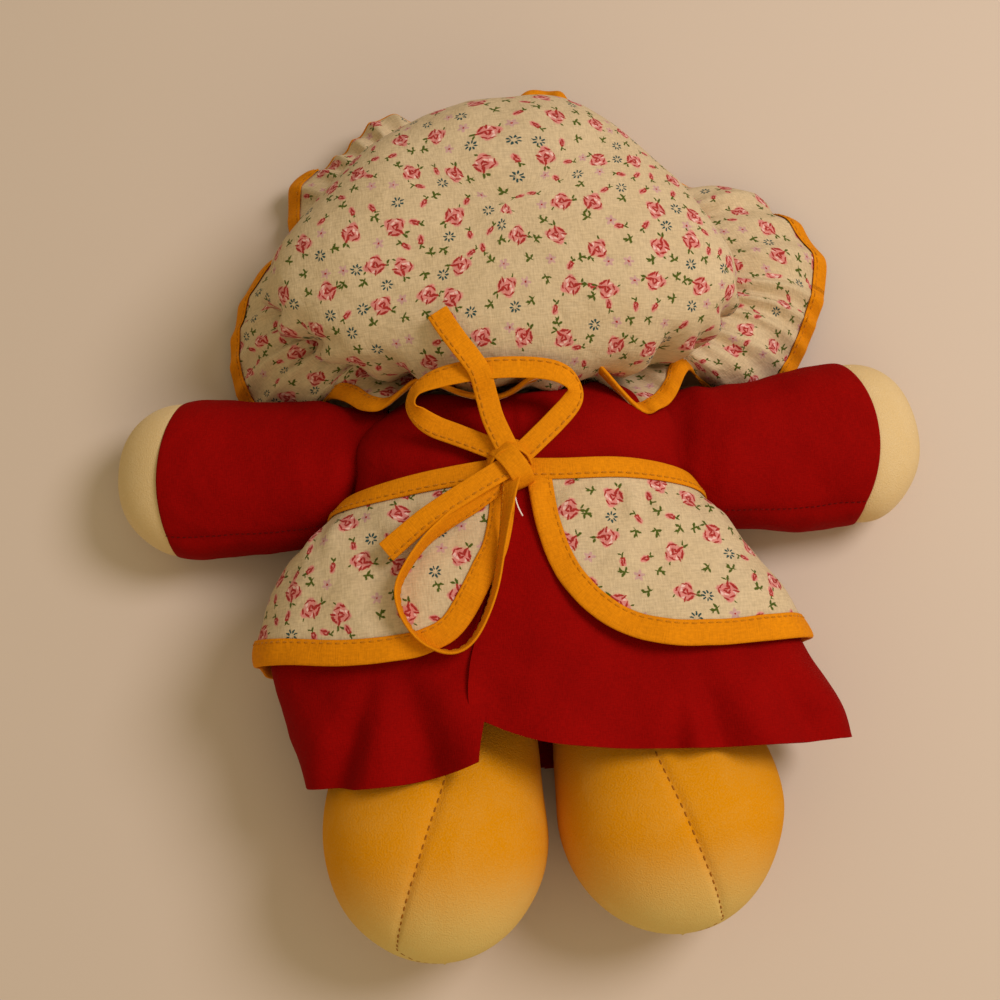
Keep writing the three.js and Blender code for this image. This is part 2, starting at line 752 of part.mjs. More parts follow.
function crown() {
  const columns = 2 * GATHERS;
  const rings = (count, inset) => Array.from({ length: count }, (_, i) => {
    const { x: share, y: rise } = crownOutline.getPoint(i / count);
    const height = ELASTIC / 2 + GAP + rise * (CROWN_HEIGHT - inset);
    return Array.from({ length: columns }, (_, k) => {
      const pleat = (k % 2) * GATHER_DEPTH * (1 - smoothstep(rise, 0, 0.5));
      return capAt((TURN * k) / columns, share, height, pleat - inset * smoothstep(share, 0, 0.3));
    });
  });
  const tip = (inset) => capAt(0, 0, ELASTIC / 2 + GAP + CROWN_HEIGHT - inset);
  const skin = [...rings(8, -COTTON).reverse(), ...rings(6, 0)];
  return loft(skin, [tip(-COTTON), tip(0)]);
}

// The frill's edge, for angles from the doll's right over the forehead: its place across and
// up as shares of the opening's half sizes, and its height. At the nape it lies on the back.
const FRILL_EDGE = [
  [-90, 0, -1.25, 77],
  [-77, 0.22, -1.25, 77],
  [-69, 0.4, -1.25, 74],
  [-64, 0.6, -1.32, 68],
  [-56, 0.78, -1.18, 60],
  [-48, 0.88, -0.98, 52],
  [-41, 1.06, -0.93, 27],
  [-34, 1.23, -0.81, 14],
  [-24, 1.5, -0.66, 9],
  [-14, 1.67, -0.43, 10],
  [-3, 1.75, -0.09, 12],
  [9, 1.66, 0.26, 12],
  [21, 1.47, 0.56, 12],
  [33, 1.08, 0.7, 12],
  [48, 0.82, 0.93, 9],
  [64, 0.6, 1.23, 10],
  [78, 0.33, 1.5, 22],
  [90, 0, 1.35, 10],
  [98, -0.19, 1.33, 10],
  [111, -0.55, 1.42, 20],
  [123, -0.79, 1.19, 18],
  [136, -1.05, 1.03, 14],
  [145, -1.12, 0.79, 10],
  [158, -1.09, 0.44, 6],
  [170, -1.33, 0.24, 11],
  [188, -1.46, -0.21, 9],
  [204, -1.45, -0.64, 10],
  [211, -1.31, -0.78, 20],
  [220, -1.1, -0.93, 36],
  [229, -0.9, -1.04, 54],
  [240, -0.6, -1.18, 69],
  [251, -0.4, -1.25, 74],
  [259, -0.23, -1.25, 76],
  [270, 0, -1.25, 77],
];
const frillCurves = [1, 2, 3].map((k) => profile(FRILL_EDGE.map((row) => [row[0], row[k]])));

const frillBase = (angle) => capAt(angle, 1, -ELASTIC / 2 - 2 * GAP);

function frillEdge(angle) {
  const base = frillBase(angle);
  const seen = Math.atan2((base.y - HEAD_Y) / capHalf[1], base.x / capHalf[0]);
  const degrees = ((THREE.MathUtils.radToDeg(seen) + 450) % 360) - 90;
  const [across, up, height] = frillCurves.map((curve) => curve(degrees));
  const edge = new THREE.Vector3(capHalf[0] * across, HEAD_Y + capHalf[1] * up, height);
  edge.z += FRILL_DEPTH * Math.cos(FRILL_WAVES * angle) / 2;
  return edge;
}

function frillAt(angle, share) {
  const base = frillBase(angle);
  const edge = frillEdge(angle);
  const point = base.clone().lerp(edge, share);
  const reach = Math.hypot(edge.x - base.x, edge.y - base.y);
  const bulge = 6.75 * share ** 2 * (1 - share) * FRILL_BULGE * reach;
  point.z = lerp(base.z, edge.z, Math.abs(share) ** 1.85) + bulge;
  return point;
}

function frillNormal(angle, share) {
  const step = 0.01;
  const round = frillAt(angle + step, share).sub(frillAt(angle - step, share));
  const out = frillAt(angle, share + step).sub(frillAt(angle, share - step));
  return new THREE.Vector3().crossVectors(out, round).normalize();
}

const FRILL_COLUMNS = 4 * FRILL_WAVES;
const frillAngles = Array.from({ length: FRILL_COLUMNS }, (_, k) => (TURN * k) / FRILL_COLUMNS);

// Shares of the frill's reach with a row of points: the last span is the bound edge.
function frillRows(angle) {
  const reach = frillAt(angle, 1).distanceTo(frillAt(angle, 0));
  const bound = Math.max(1 - (CAP_BINDING + GAP) / reach, 0.3);
  return [0, bound / 2, bound, 1];
}

function frill() {
  const sections = frillAngles.map((angle) => {
    const faces = [0, -COTTON].map((thickness) => frillRows(angle).map((share) =>
      frillAt(angle, share).addScaledVector(frillNormal(angle, share), thickness)));
    return [...faces[0], ...faces[1].reverse()];
  });
  return loft(sections, "loop");
}

function capBinding() {
  const sections = frillAngles.map((angle) => {
    const [, , bound, edge] = frillRows(angle).map((share) => (lift) =>
      frillAt(angle, share).addScaledVector(frillNormal(angle, share), lift));
    return bindingSection(edge, bound);
  });
  return loft(sections, "loop");
}

function elastic() {
  const columns = 30;
  const sections = Array.from({ length: columns }, (_, k) =>
    Array.from({ length: 5 }, (_, j) => {
      const turn = (TURN * j) / 5;
      const spread = ELASTIC / 2 + (ELASTIC / 2) * Math.cos(turn);
      return capAt((TURN * k) / columns, 1, (ELASTIC / 2) * Math.sin(turn), spread);
    }));
  return loft(sections, "loop");
}

// Bow tapes. Each follows points [right, up, lift] from the knot, where the lift is above
// whatever lies below: the back of the dress or the crown of the cap.

// The top of the crown above a place, or nothing beside the crown.
function crownHeight(x, y) {
  const spot = askew(new THREE.Vector3(x, y, 0), -1);
  const samples = Array.from({ length: 80 }, (_, i) => {
    const { x: share, y: rise } = crownOutline.getPoint(i / 80);
    const height = ELASTIC / 2 + GAP + rise * CROWN_HEIGHT;
    const head = straightCap(Math.PI / 2, share, height, COTTON);
    const nape = straightCap(-Math.PI / 2, share, height, COTTON);
    const along = (2 * (spot.y - nape.y)) / (head.y - nape.y) - 1;
    const across = spot.x / (straightCap(0, share, height, COTTON).x * cheeks(along * share));
    const outside = Math.abs(along) ** HEAD_FULL + Math.abs(across) ** HEAD_FULL > 1;
    return outside ? -Infinity : lerp(nape.z, head.z, (along + 1) / 2) + COTTON;
  });
  return Math.max(...samples);
}

const BOW = {
  bow_tail_upper: {
    standing: 0,
    line: [
      [-1.5, 7.8, 2.2],
      [-6, 17, 2.2],
      [-11, 26, 3],
      [-14, 33, 6],
      [-17, 40, 4.5],
      [-20, 47, 2.5],
      [-23, 55, 2.5],
    ],
  },
  bow_loop_upper: {
    standing: 0,
    line: [
      [-5.6, 5.2, 0.6],
      [-15, 14, 0.8],
      [-25, 22, 1.5],
      [-34, 29, 3],
      [-31, 36, 9.5],
      [-16, 39, 9.5],
      [-2, 39, 8],
      [12, 37, 7.5],
      [21, 33, 8],
      [25, 27, 6],
      [16, 15, 3.5],
      [6.2, 5, 3.2],
    ],
  },
  bow_tail_lower: {
    standing: 0,
    line: [
      [-7.4, -2.6, 1],
      [-16, -9, 1],
      [-28, -16, 1],
      [-38, -22, 1],
      [-47, -28, 1],
    ],
  },
  bow_loop_lower: {
    standing: 1,
    line: [
      [-4.5, -6.6, 6.4],
      [-14, -14, 7],
      [-28, -22, 7],
      [-40, -34, 6],
      [-45, -48, 6],
      [-39, -61, 6],
      [-29, -65, 6],
      [-19, -58, 6],
      [-11, -38, 6],
      [-4, -18, 6],
      [0, -8, 6],
    ],
  },
};

// What a tape lies on: the back, at least as high as under the knot, or the crown.
function bowRest(x, y) {
  const back = y > WAIST_Y ? backHeight(0, WAIST_Y) : backHeight(x, y);
  return Math.max(back, crownHeight(x, y));
}

function ribbon({ line, standing }) {
  const steps = 3 * (line.length - 1);
  const path = new THREE.CatmullRomCurve3(line.map(([right, up, lift]) => {
    const [x, y] = [KNOT.x + right, KNOT.y + up];
    return new THREE.Vector3(x, y, bowRest(x, y) + lift);
  }));
  const sections = Array.from({ length: steps + 1 }, (_, i) => {
    const point = path.getPoint(i / steps);
    const along = path.getTangent(i / steps);
    const flat = new THREE.Vector3().crossVectors(Z, along).normalize();
    const width = flat.lerp(Z, standing).normalize();
    const thick = new THREE.Vector3().crossVectors(along, width).normalize();
    const spot = (across, through) => point.clone()
      .addScaledVector(width, (across * TIE_WIDTH) / 2)
      .addScaledVector(thick, (through * TAPE) / 2);
    return [spot(1, 1), spot(-1, 1), spot(-1, -1), spot(1, -1)];
  });
  return loft(sections, "strip");
}

// Assembly

const CLOTHS = {
  velourCream: { color: 0xe4d3a6, roughness: 0.9 },
  velourYellow: { color: 0xdfa012, roughness: 0.9 },
  stuffing: { color: 0xf2efe6, roughness: 1 },
  calico: { color: 0xe9dcc0, roughness: 0.9 },
  redCotton: { color: 0x8e0a06, roughness: 0.85 },
  printedCotton: { color: 0xe6dabd, roughness: 0.85 },
  binding: { color: 0xe5940c, roughness: 0.8 },
  elastic: { color: 0xf4f1e8, roughness: 0.7 },
};

function build() {
  const doll = new THREE.Group();
  doll.name = "rag_doll";
  const add = (name, geometry, cloth) => {
    const material = new THREE.MeshStandardMaterial({ ...CLOTHS[cloth], metalness: 0 });
    const mesh = new THREE.Mesh(geometry, material);
    mesh.name = name;
    doll.add(mesh);
  };

  const torso = stuffed(torsoForm);
  add("torso_skin", torso.skin, "calico");
  add("torso_fill", torso.fill, "stuffing");
  const head = stuffed(headForm);
  add("head_skin", head.skin, "velourCream");
  add("head_fill", head.fill, "stuffing");
  const sides = [
    ["left", -1, LEFT_ARM_RISE],
    ["right", 1, RIGHT_ARM_RISE],
  ];
  sides.forEach(([name, side, rise]) => {
    const form = armForm(side, rise);
    const arm = stuffed(form);
    add(`${name}_arm_skin`, arm.skin, "velourCream");
    add(`${name}_arm_fill`, arm.fill, "stuffing");
    add(`${name}_sleeve`, sleeve(form), "redCotton");
    const leg = stuffed(legForm(side));
    add(`${name}_leg_skin`, leg.skin, "velourYellow");
    add(`${name}_leg_fill`, leg.fill, "stuffing");
  });

  add("dress_bodice", bodice(), "redCotton");
  add("dress_skirt", skirt(), "redCotton");
  add("apron_panel", apron(), "printedCotton");
  add("apron_binding", apronBinding(), "binding");
  add("waist_tie", waistTie(), "binding");
  add("bow_knot", knot(), "binding");
  Object.entries(BOW).forEach(([name, tape]) => add(name, ribbon(tape), "binding"));
  add("cap_crown", crown(), "printedCotton");
  add("cap_frill", frill(), "printedCotton");
  add("cap_binding", capBinding(), "binding");
  add("cap_elastic", elastic(), "elastic");
  return doll;
}

export default build();
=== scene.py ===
"""Looks of a cloth rag doll that lies on its front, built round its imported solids.

Lengths in this file are millimetres in the doll's own frame: +X to the doll's right, +Y up
the body to the head, +Z out of its back. Meshes are handed to Blender in metres.
"""

import logging
import math
from dataclasses import dataclass, field
from enum import Enum
from typing import Callable, Iterable, Sequence

import bmesh
import bpy
import numpy as np
from mathutils import Matrix, Vector, noise


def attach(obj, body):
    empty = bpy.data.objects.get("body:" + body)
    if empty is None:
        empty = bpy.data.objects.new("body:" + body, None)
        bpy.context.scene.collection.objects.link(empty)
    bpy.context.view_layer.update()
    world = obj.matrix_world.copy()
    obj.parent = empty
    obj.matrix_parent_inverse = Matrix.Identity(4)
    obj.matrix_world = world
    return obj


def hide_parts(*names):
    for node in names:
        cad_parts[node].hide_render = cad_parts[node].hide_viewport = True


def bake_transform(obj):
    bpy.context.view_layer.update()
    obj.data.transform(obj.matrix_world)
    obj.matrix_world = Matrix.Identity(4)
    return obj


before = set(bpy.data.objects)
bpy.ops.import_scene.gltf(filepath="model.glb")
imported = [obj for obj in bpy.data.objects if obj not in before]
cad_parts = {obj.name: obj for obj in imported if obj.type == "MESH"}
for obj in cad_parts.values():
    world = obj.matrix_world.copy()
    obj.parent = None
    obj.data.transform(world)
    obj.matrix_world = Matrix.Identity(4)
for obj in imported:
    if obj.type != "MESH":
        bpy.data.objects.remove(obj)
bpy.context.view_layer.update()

LOG = logging.getLogger("rag_doll")
MM = 0.001
# Scale of a place that turns metres into mm.
PER_MM = (1 / MM,) * 3
TURN = 2 * math.pi
UP = np.array([0.0, 0.0, 1.0])
# The doll's own width, as one row of directions.
ACROSS = np.array([[1.0, 0.0, 0.0]])
Array = np.ndarray
Piece = bpy.types.Object
Material = bpy.types.Material
Node = bpy.types.Node
Tree = bpy.types.NodeTree
Socket = bpy.types.NodeSocket
Span = tuple[float, float]
Spans = tuple[Span, ...]
Place = tuple[float, float, float]
Grid = tuple[int, int]
Surface = Callable[[float], tuple[Array, Array]]


class Side(Enum):
    """The doll's left or right, as the sign of X."""

    LEFT = -1
    RIGHT = 1

    @property
    def label(self) -> str:
        """The side as the start of a piece's name."""
        return self.name.lower()


# Curves and sections


@dataclass(frozen=True)
class Profile:
    """A smooth curve.

    Attributes:
        pairs: The (place, value) pairs that it runs through, in rising order of place.
    """

    pairs: Spans

    def __call__(self, place: Array | float) -> Array:
        """Reads the curve.

        Args:
            place: One place or an array of them.

        Returns:
            The values there, held level beyond both ends.
        """
        xs, ys = np.array(self.pairs, float).T
        slopes = np.gradient(ys, xs)
        x = np.clip(np.asarray(place, float), xs[0], xs[-1])
        i = np.clip(np.searchsorted(xs, x), 1, len(xs) - 1)
        run = xs[i] - xs[i - 1]
        t = (x - xs[i - 1]) / run
        n = 1 - t
        bend = t * n * run * (slopes[i - 1] * n - slopes[i] * t)
        return ys[i - 1] * n * n * (1 + 2 * t) + ys[i] * t * t * (1 + 2 * n) + bend


def smoothstep(x: Array | float, low: float, high: float) -> Array:
    """Rises smoothly from 0 at low to 1 at high."""
    t = np.clip((np.asarray(x, float) - low) / (high - low), 0, 1)
    return t * t * (3 - 2 * t)


def full(value: Array, squareness: Array | float) -> Array:
    """A sine or cosine pushed outwards, so that a round section has fuller corners."""
    return np.sign(value) * np.abs(value) ** (2 / np.asarray(squareness, float))


def unit(vectors: Array) -> Array:
    """The vectors at length one."""
    return vectors / np.maximum(np.linalg.norm(vectors, axis=-1, keepdims=True), 1e-9)


def run_along(line: Array) -> Array:
    """The distance along a line to each of its points."""
    return np.concatenate([[0], np.cumsum(np.linalg.norm(np.diff(line, axis=0), axis=1))])


def read_along(values: Array, run: Array, at: Array, period: float | None = None) -> Array:
    """Rows of values that are known at distances along a line, read at other distances."""
    return np.stack([np.interp(at, run, column, period=period) for column in values.T], -1)


def ring_angles(rows: int, cols: int) -> Array:
    """Even places round each of several rings, in radians."""
    return np.tile(np.linspace(0, TURN, cols, endpoint=False), (rows, 1))


def evened(values: Array, mode: str, reach: int = 6) -> Array:
    """Values averaged with their neighbours, after the ends are padded in one of NumPy's ways."""
    count = 2 * reach + 1
    return np.convolve(np.pad(values, reach, mode=mode), np.ones(count) / count, "valid")


def lift_clear(points: Array, height: float) -> None:
    """Moves up the points that are lower than a height above the table, in mm."""
    points[..., 2] = np.maximum(points[..., 2], height)


def ripple(points: Array, size: float, seed: float) -> Array:
    """Smooth unevenness over points in space.

    Args:
        points: Places in mm, in any grid.
        size: The usual width of one rise or dip, in mm.
        seed: Moves the pattern, so that two pieces differ.

    Returns:
        A value from about -1 to 1 for each place.
    """
    flat = points.reshape(-1, 3) / size + seed
    values = [noise.noise(Vector(p)) for p in flat]
    return np.array(values).reshape(points.shape[:-1])


def spline(points: Sequence[Sequence[float]], steps: int, loop: bool = False) -> Array:
    """A smooth line through points of any number of values.

    Args:
        points: The points that it runs through.
        steps: How many points the line gets.
        loop: Whether it closes on itself.

    Returns:
        The line's points, one row each.
    """
    knots = np.array(points, float)
    count = len(knots)
    spans = count if loop else count - 1
    at = np.linspace(0, spans, steps, endpoint=not loop)
    i = np.minimum(at.astype(int), spans - 1)
    t = (at - i)[:, None]
    near = [(i + k) % count if loop else np.clip(i + k, 0, count - 1) for k in (-1, 0, 1, 2)]
    a, b, c, d = (knots[k] for k in near)
    return 0.5 * (2 * b + (c - a) * t + (2 * a - 5 * b + 4 * c - d) * t ** 2
                  + (3 * b - a - 3 * c + d) * t ** 3)


# Meshes


def make_object(name: str, points: Array, faces: Iterable[Sequence[int]],
                inside: Sequence[float], uv: Array | None = None) -> Piece:
    """Makes a smooth mesh whose faces look away from a place inside it.

    Args:
        name: The piece's name.
        points: Its points in mm.
        faces: Point numbers of each face.
        inside: A place in mm that the faces look away from.
        uv: A place on the flat cloth, in mm, for each corner of each face in turn.

    Returns:
        The object, linked to the scene.
    """
    first = np.array([(f[0], f[1], f[-1]) for f in faces])
    corner = points[first[:, 0]]
    facing = np.cross(points[first[:, 1]] - corner, points[first[:, 2]] - corner)
    outward = (facing * (corner - np.array(inside, float))).sum()
    flip = outward < 0
    mesh = bpy.data.meshes.new(name)
    mesh.from_pydata((points * MM).tolist(), [], [f[::-1] if flip else f for f in faces])
    if uv is not None:
        layer = mesh.uv_layers.new(name="cloth")
        start, ordered = 0, []
        for face in faces:
            corners = uv[start:start + len(face)]
            ordered.append(corners[::-1] if flip else corners)
            start += len(face)
        layer.data.foreach_set("uv", (np.concatenate(ordered) * MM).astype(np.float32).ravel())
    mesh.polygons.foreach_set("use_smooth", [True] * len(mesh.polygons))
    mesh.validate()
    obj = bpy.data.objects.new(name, mesh)
    bpy.context.scene.collection.objects.link(obj)
    return obj


@dataclass
class Skin:
    """A grid of points that becomes one mesh.

    Attributes:
        points: Rows of points in mm.
        uv: The same grid on the flat cloth in mm, with one more column on a loop.
        loop: Whether each row closes on itself.
        tips: A point that closes the first row and one that closes the last.
    """

    points: Array
    uv: Array | None = None
    loop: bool = False
    tips: tuple[Array, ...] = ()

    def build(self, name: str, inside: Sequence[float]) -> Piece:
        """Makes the mesh.

        Args:
            name: The piece's name.
            inside: A place in mm that the faces look away from.

        Returns:
            The new object.
        """
        rows, cols = self.points.shape[:2]
        spans = cols if self.loop else cols - 1
        i, k = np.meshgrid(np.arange(rows - 1), np.arange(spans), indexing="ij")
        near, far = i * cols + k, i * cols + (k + 1) % cols
        quads = np.stack([near, far, far + cols, near + cols], -1).reshape(-1, 4)
        faces = quads.tolist()
        uv = self.uv
        if uv is None:
            uv = np.stack(np.meshgrid(np.arange(spans + 1.0), np.arange(float(rows))), -1)
        wide = uv.shape[1]
        flat_uv = uv.reshape(-1, 2)
        a = i * wide + k
        corners = flat_uv[np.stack([a, a + 1, a + 1 + wide, a + wide], -1).reshape(-1)]
        points = self.points.reshape(-1, 3)
        extra = []
        for row, tip in zip((0, rows - 1), self.tips):
            points = np.vstack([points, tip])
            ring = row * cols + np.arange(cols)
            for c in range(cols):
                pair = [ring[c], ring[(c + 1) % cols]]
                faces.append([len(points) - 1, *(pair if row else pair[::-1])])
                extra += [flat_uv[row * wide + min(c + s, wide - 1)] for s in (0, 1, 0)]
        if extra:
            corners = np.vstack([corners, np.array(extra)])
        return make_object(name, points, faces, inside, corners)


def thicken(obj: Piece, thickness: float, smooth: int = 1, crisp: bool = False) -> Piece:
    """Gives a sheet its cloth thickness, inwards, and rounds it.

    Args:
        obj: The sheet.
        thickness: In mm, or 0 for a closed form.
        smooth: Levels of subdivision.
        crisp: Whether its edges stay sharp, as where it meets another piece of the same cloth.

    Returns:
        The same object.
    """
    if thickness:
        solid = obj.modifiers.new("thickness", "SOLIDIFY")
        solid.thickness = thickness * MM
        solid.offset = -1
        if crisp:
            solid.edge_crease_outer = solid.edge_crease_inner = solid.edge_crease_rim = 1.0
            used = [0] * len(obj.data.edges)
            for loop in obj.data.loops:
                used[loop.edge_index] += 1
            for edge, faces in zip(obj.data.edges, used):
                edge.use_edge_sharp = faces == 1
    if smooth:
        rounded = obj.modifiers.new("smooth", "SUBSURF")
        rounded.levels = rounded.render_levels = smooth
    return obj


# Finishes


def linear(hex_colour: str) -> tuple[float, float, float, float]:
    """Turns an sRGB hex colour into linear values.

    Args:
        hex_colour: Such as "#8E0A06".

    Returns:
        Red, green, blue and an alpha of one.
    """
    values = [int(hex_colour[i:i + 2], 16) / 255 for i in (1, 3, 5)]
    made = [v / 12.92 if v <= 0.04045 else ((v + 0.055) / 1.055) ** 2.4 for v in values]
    return (*made, 1.0)


def add_node(tree: Tree, kind: str, links: dict | None = None, **settings: object) -> Node:
    """Adds one node with its settings and links.

    Args:
        tree: The material's nodes.
        kind: The node's type, without the word that all shader nodes start with.
        links: Input name or number, to a value, to the output that feeds it, or to a node whose
            first output does.
        settings: The node's own properties.

    Returns:
        The new node.
    """
    made = tree.nodes.new("ShaderNode" + kind)
    for name, value in settings.items():
        setattr(made, name, value)
    for name, value in (links or {}).items():
        source = value.outputs[0] if isinstance(value, Node) else value
        if isinstance(source, Socket):
            tree.links.new(source, made.inputs[name])
        else:
            made.inputs[name].default_value = source
    return made


@dataclass(frozen=True)
class Finish:
    """A material: its common name, its colour and how it takes the light.

    Attributes:
        colour: Its main colour, as a hex value.
        roughness: From 0, polished, to 1, dull.
        sheen: How much its loose fibres catch the light from the side.
        shine: How strong its highlights are.
        nap: How widely that sheen spreads.
    """

    name: str
    colour: str
    roughness: float = 0.85
    sheen: float = 0.1
    shine: float = 0.15
    ior: float = 1.46
    nap: float = 0.4

    def begin(self) -> tuple[Material, Tree, Node]:
        """Starts the material.

        Returns:
            The material, its nodes and its main shader.
        """
        material = bpy.data.materials.new(self.name)
        material.use_nodes = True
        material.diffuse_color = linear(self.colour)
        shader = material.node_tree.nodes["Principled BSDF"]
        values = {"Roughness": self.roughness, "IOR": self.ior, "Specular IOR Level": self.shine,
                  "Sheen Weight": self.sheen, "Sheen Roughness": self.nap}
        for name, value in values.items():
            shader.inputs[name].default_value = value
        return material, material.node_tree, shader

    def make(self) -> Material:
        """Makes the material, once for each finish."""
        return bpy.data.materials.get(self.name) or self.paint()

    def paint(self) -> Material:
        """Lays the finish's own nodes.

        Returns:
            The material.
        """
        material, _, shader = self.begin()
        shader.inputs["Base Color"].default_value = linear(self.colour)
        return material


@dataclass(frozen=True)
class WovenCotton(Finish):
    """Plain-weave cotton: fine crossed threads, small creases and slight unevenness of dye.

    Attributes:
        shade: The darker colour of the dye's uneven places.
        patch: Usual width of such a place in mm.
        thread: Width of a thread in mm. Real ones are 0.3 mm, and these are drawn coarser
            so that they show.
        slub: Width of a thread as a share of its thick and thin places' length.
        crease: Usual width of a small crease in mm.
        crease_depth: Height of the creases in mm.
    """

    shade: str = "#5A0000"
    patch: float = 20.0
    thread: float = 0.7
    slub: float = 0.22
    crease: float = 9.0
    crease_depth: float = 0.5

    def ground(self, tree: Tree, cloth: Socket) -> Socket:
        """The colour of the cloth.

        Args:
            tree: The material's nodes.
            cloth: The place on the flat cloth, in mm.

        Returns:
            The colour's output.
        """
        patches = add_node(tree, "TexNoise", {"Vector": cloth, "Scale": 1 / self.patch, "Detail": 3.0})
        spread = add_node(tree, "MapRange", {
            "Value": patches, "From Min": 0.35, "From Max": 0.75, "To Max": 0.45})
        mixed = add_node(tree, "Mix", {
            0: spread, 6: linear(self.colour), 7: linear(self.shade)}, data_type="RGBA")
        return mixed.outputs[2]

    def paint(self) -> Material:
        """Lays the weave, the creases and the dye.

        Returns:
            The material.
        """
        material, tree, shader = self.begin()
        flat = add_node(tree, "UVMap", uv_map="cloth")
        cloth = add_node(tree, "Mapping", {"Vector": flat, "Scale": PER_MM}).outputs[0]
        across, along = 1 / self.thread, self.slub / self.thread
        warp, weft = [
            add_node(tree, "TexNoise", {
                "Vector": add_node(tree, "Mapping", {"Vector": cloth, "Scale": scale}),
                "Scale": 1.0, "Detail": 1.0})
            for scale in ((across, along, 1), (along, across, 1))]
        weave = add_node(tree, "Math", {0: warp, 1: weft}, operation="ADD")
        creases = add_node(tree, "TexNoise", {
            "Vector": cloth, "Scale": 1 / self.crease, "Detail": 2.0, "Roughness": 0.45, "Distortion": 0.4})
        rough = add_node(tree, "Bump", {"Height": weave, "Strength": 0.5, "Distance": 0.25 * MM})
        bump = add_node(tree, "Bump", {
            "Height": creases, "Strength": 0.8, "Distance": 2 * self.crease_depth * MM, "Normal": rough})
        tint = add_node(tree, "MapRange", {
            "Value": weave, "From Min": 0.7, "From Max": 1.3, "To Min": 0.86, "To Max": 1.08})
        shaded = add_node(tree, "VectorMath", {0: self.ground(tree, cloth), "Scale": tint}, operation="SCALE")
        tree.links.new(shaded.outputs[0], shader.inputs["Base Color"])
        tree.links.new(bump.outputs[0], shader.inputs["Normal"])
        return material


class Ink(Enum):
    """The inks of the print."""

    PINK = "#D2847A"
    MADDER = "#A3302A"
    BLUSH = "#E6BDAE"
    LEAF = "#4E5A1C"
    TEAL = "#2E4A48"
    MAUVE = "#C39A90"


class Motif(Enum):
    """The print's small motifs, each with its share of the places where one may stand."""

    BUD = (0.0, 0.25)
    DAISY = (0.25, 0.41)
    STAR = (0.41, 0.62)
    SPRIG = (0.62, 1.01)


@dataclass(frozen=True)
class Dab:
    """One oval touch of ink.

    Attributes:
        x: Place of its middle across the motif, in mm.
        y: Place of its middle up the motif, in mm.
        long: Half length in mm.
        wide: Half width in mm.
        turn: Turn of its length in degrees.
        ink: Its ink.
    """

    x: float
    y: float
    long: float
    wide: float
    turn: float
    ink: Ink


def ring_of_dabs(count: int, radius: float, long: float, wide: float, ink: Ink) -> tuple[Dab, ...]:
    """Dabs set round a middle, each pointing outwards.

    Args:
        count: How many.
        radius: Distance of their middles, in mm.
        long: Half length in mm.
        wide: Half width in mm.
        ink: Their ink.

    Returns:
        The dabs.
    """
    turns = [TURN * k / count for k in range(count)]
    return tuple(Dab(radius * math.cos(a), radius * math.sin(a), long, wide, math.degrees(a), ink)
                 for a in turns)


def inked(ink: Ink, *values: tuple[float, float, float, float, float]) -> tuple[Dab, ...]:
    """Dabs of one ink, each as its middle, half length, half width and turn."""
    return tuple(Dab(*value, ink) for value in values)


ROSE: tuple[Dab, ...] = (
    *inked(Ink.LEAF, (3.8, -3.4, 1.3, 0.5, -40), (4.6, -2.2, 1.0, 0.42, 20), (-4.6, 0.6, 0.8, 0.34, 15)),
    *inked(Ink.PINK, (0.0, 0.1, 3.3, 3.0, 10), (2.0, 1.4, 2.0, 1.7, 30), (-2.1, 1.3, 2.0, 1.7, -20),
           (0.3, -2.0, 2.5, 1.7, 0)),
    *inked(Ink.BLUSH, (0.9, 2.4, 1.1, 0.5, 10), (-1.6, -1.6, 1.0, 0.45, -15), (-0.7, 1.3, 0.9, 0.4, 30)),
    *inked(Ink.MADDER, (0.3, 0.7, 1.3, 0.42, 20), (-0.6, -0.1, 1.1, 0.36, -60), (0.9, -0.3, 1.2, 0.4, 60),
           (-2.5, 0.2, 1.4, 0.36, 75), (-1.9, 2.5, 1.3, 0.36, 30), (1.8, 2.7, 1.3, 0.34, -25),
           (3.0, 0.9, 1.4, 0.38, -80), (2.2, -1.8, 1.5, 0.5, -45), (0.2, -3.0, 2.0, 0.5, 5),
           (-1.7, -2.3, 1.3, 0.4, 40), (1.2, -1.4, 1.3, 0.45, -20)),
)
DITSY: dict[Motif, tuple[Dab, ...]] = {
    Motif.BUD: (
        *inked(Ink.PINK, (-0.8, 0.0, 2.0, 1.25, 0)),
        *inked(Ink.MADDER, (-1.0, 0.3, 1.5, 0.4, 8), (-0.2, -0.6, 1.3, 0.36, -12), (0.9, 0.0, 0.7, 0.5, 90)),
        *inked(Ink.LEAF, (2.1, -0.3, 1.2, 0.36, -20), (2.4, 0.7, 0.9, 0.34, 60))),
    Motif.DAISY: ring_of_dabs(8, 1.6, 0.82, 0.38, Ink.TEAL),
    Motif.STAR: (*ring_of_dabs(5, 1.0, 1.2, 0.6, Ink.MAUVE), *inked(Ink.MADDER, (0.0, 0.0, 0.4, 0.4, 0))),
    Motif.SPRIG: inked(Ink.LEAF, (0.0, 0.0, 2.1, 0.36, 65), (0.9, 0.7, 1.2, 0.5, 15),
                       (-0.9, 0.4, 1.2, 0.5, 125), (0.5, -1.2, 1.0, 0.46, -25)),
}


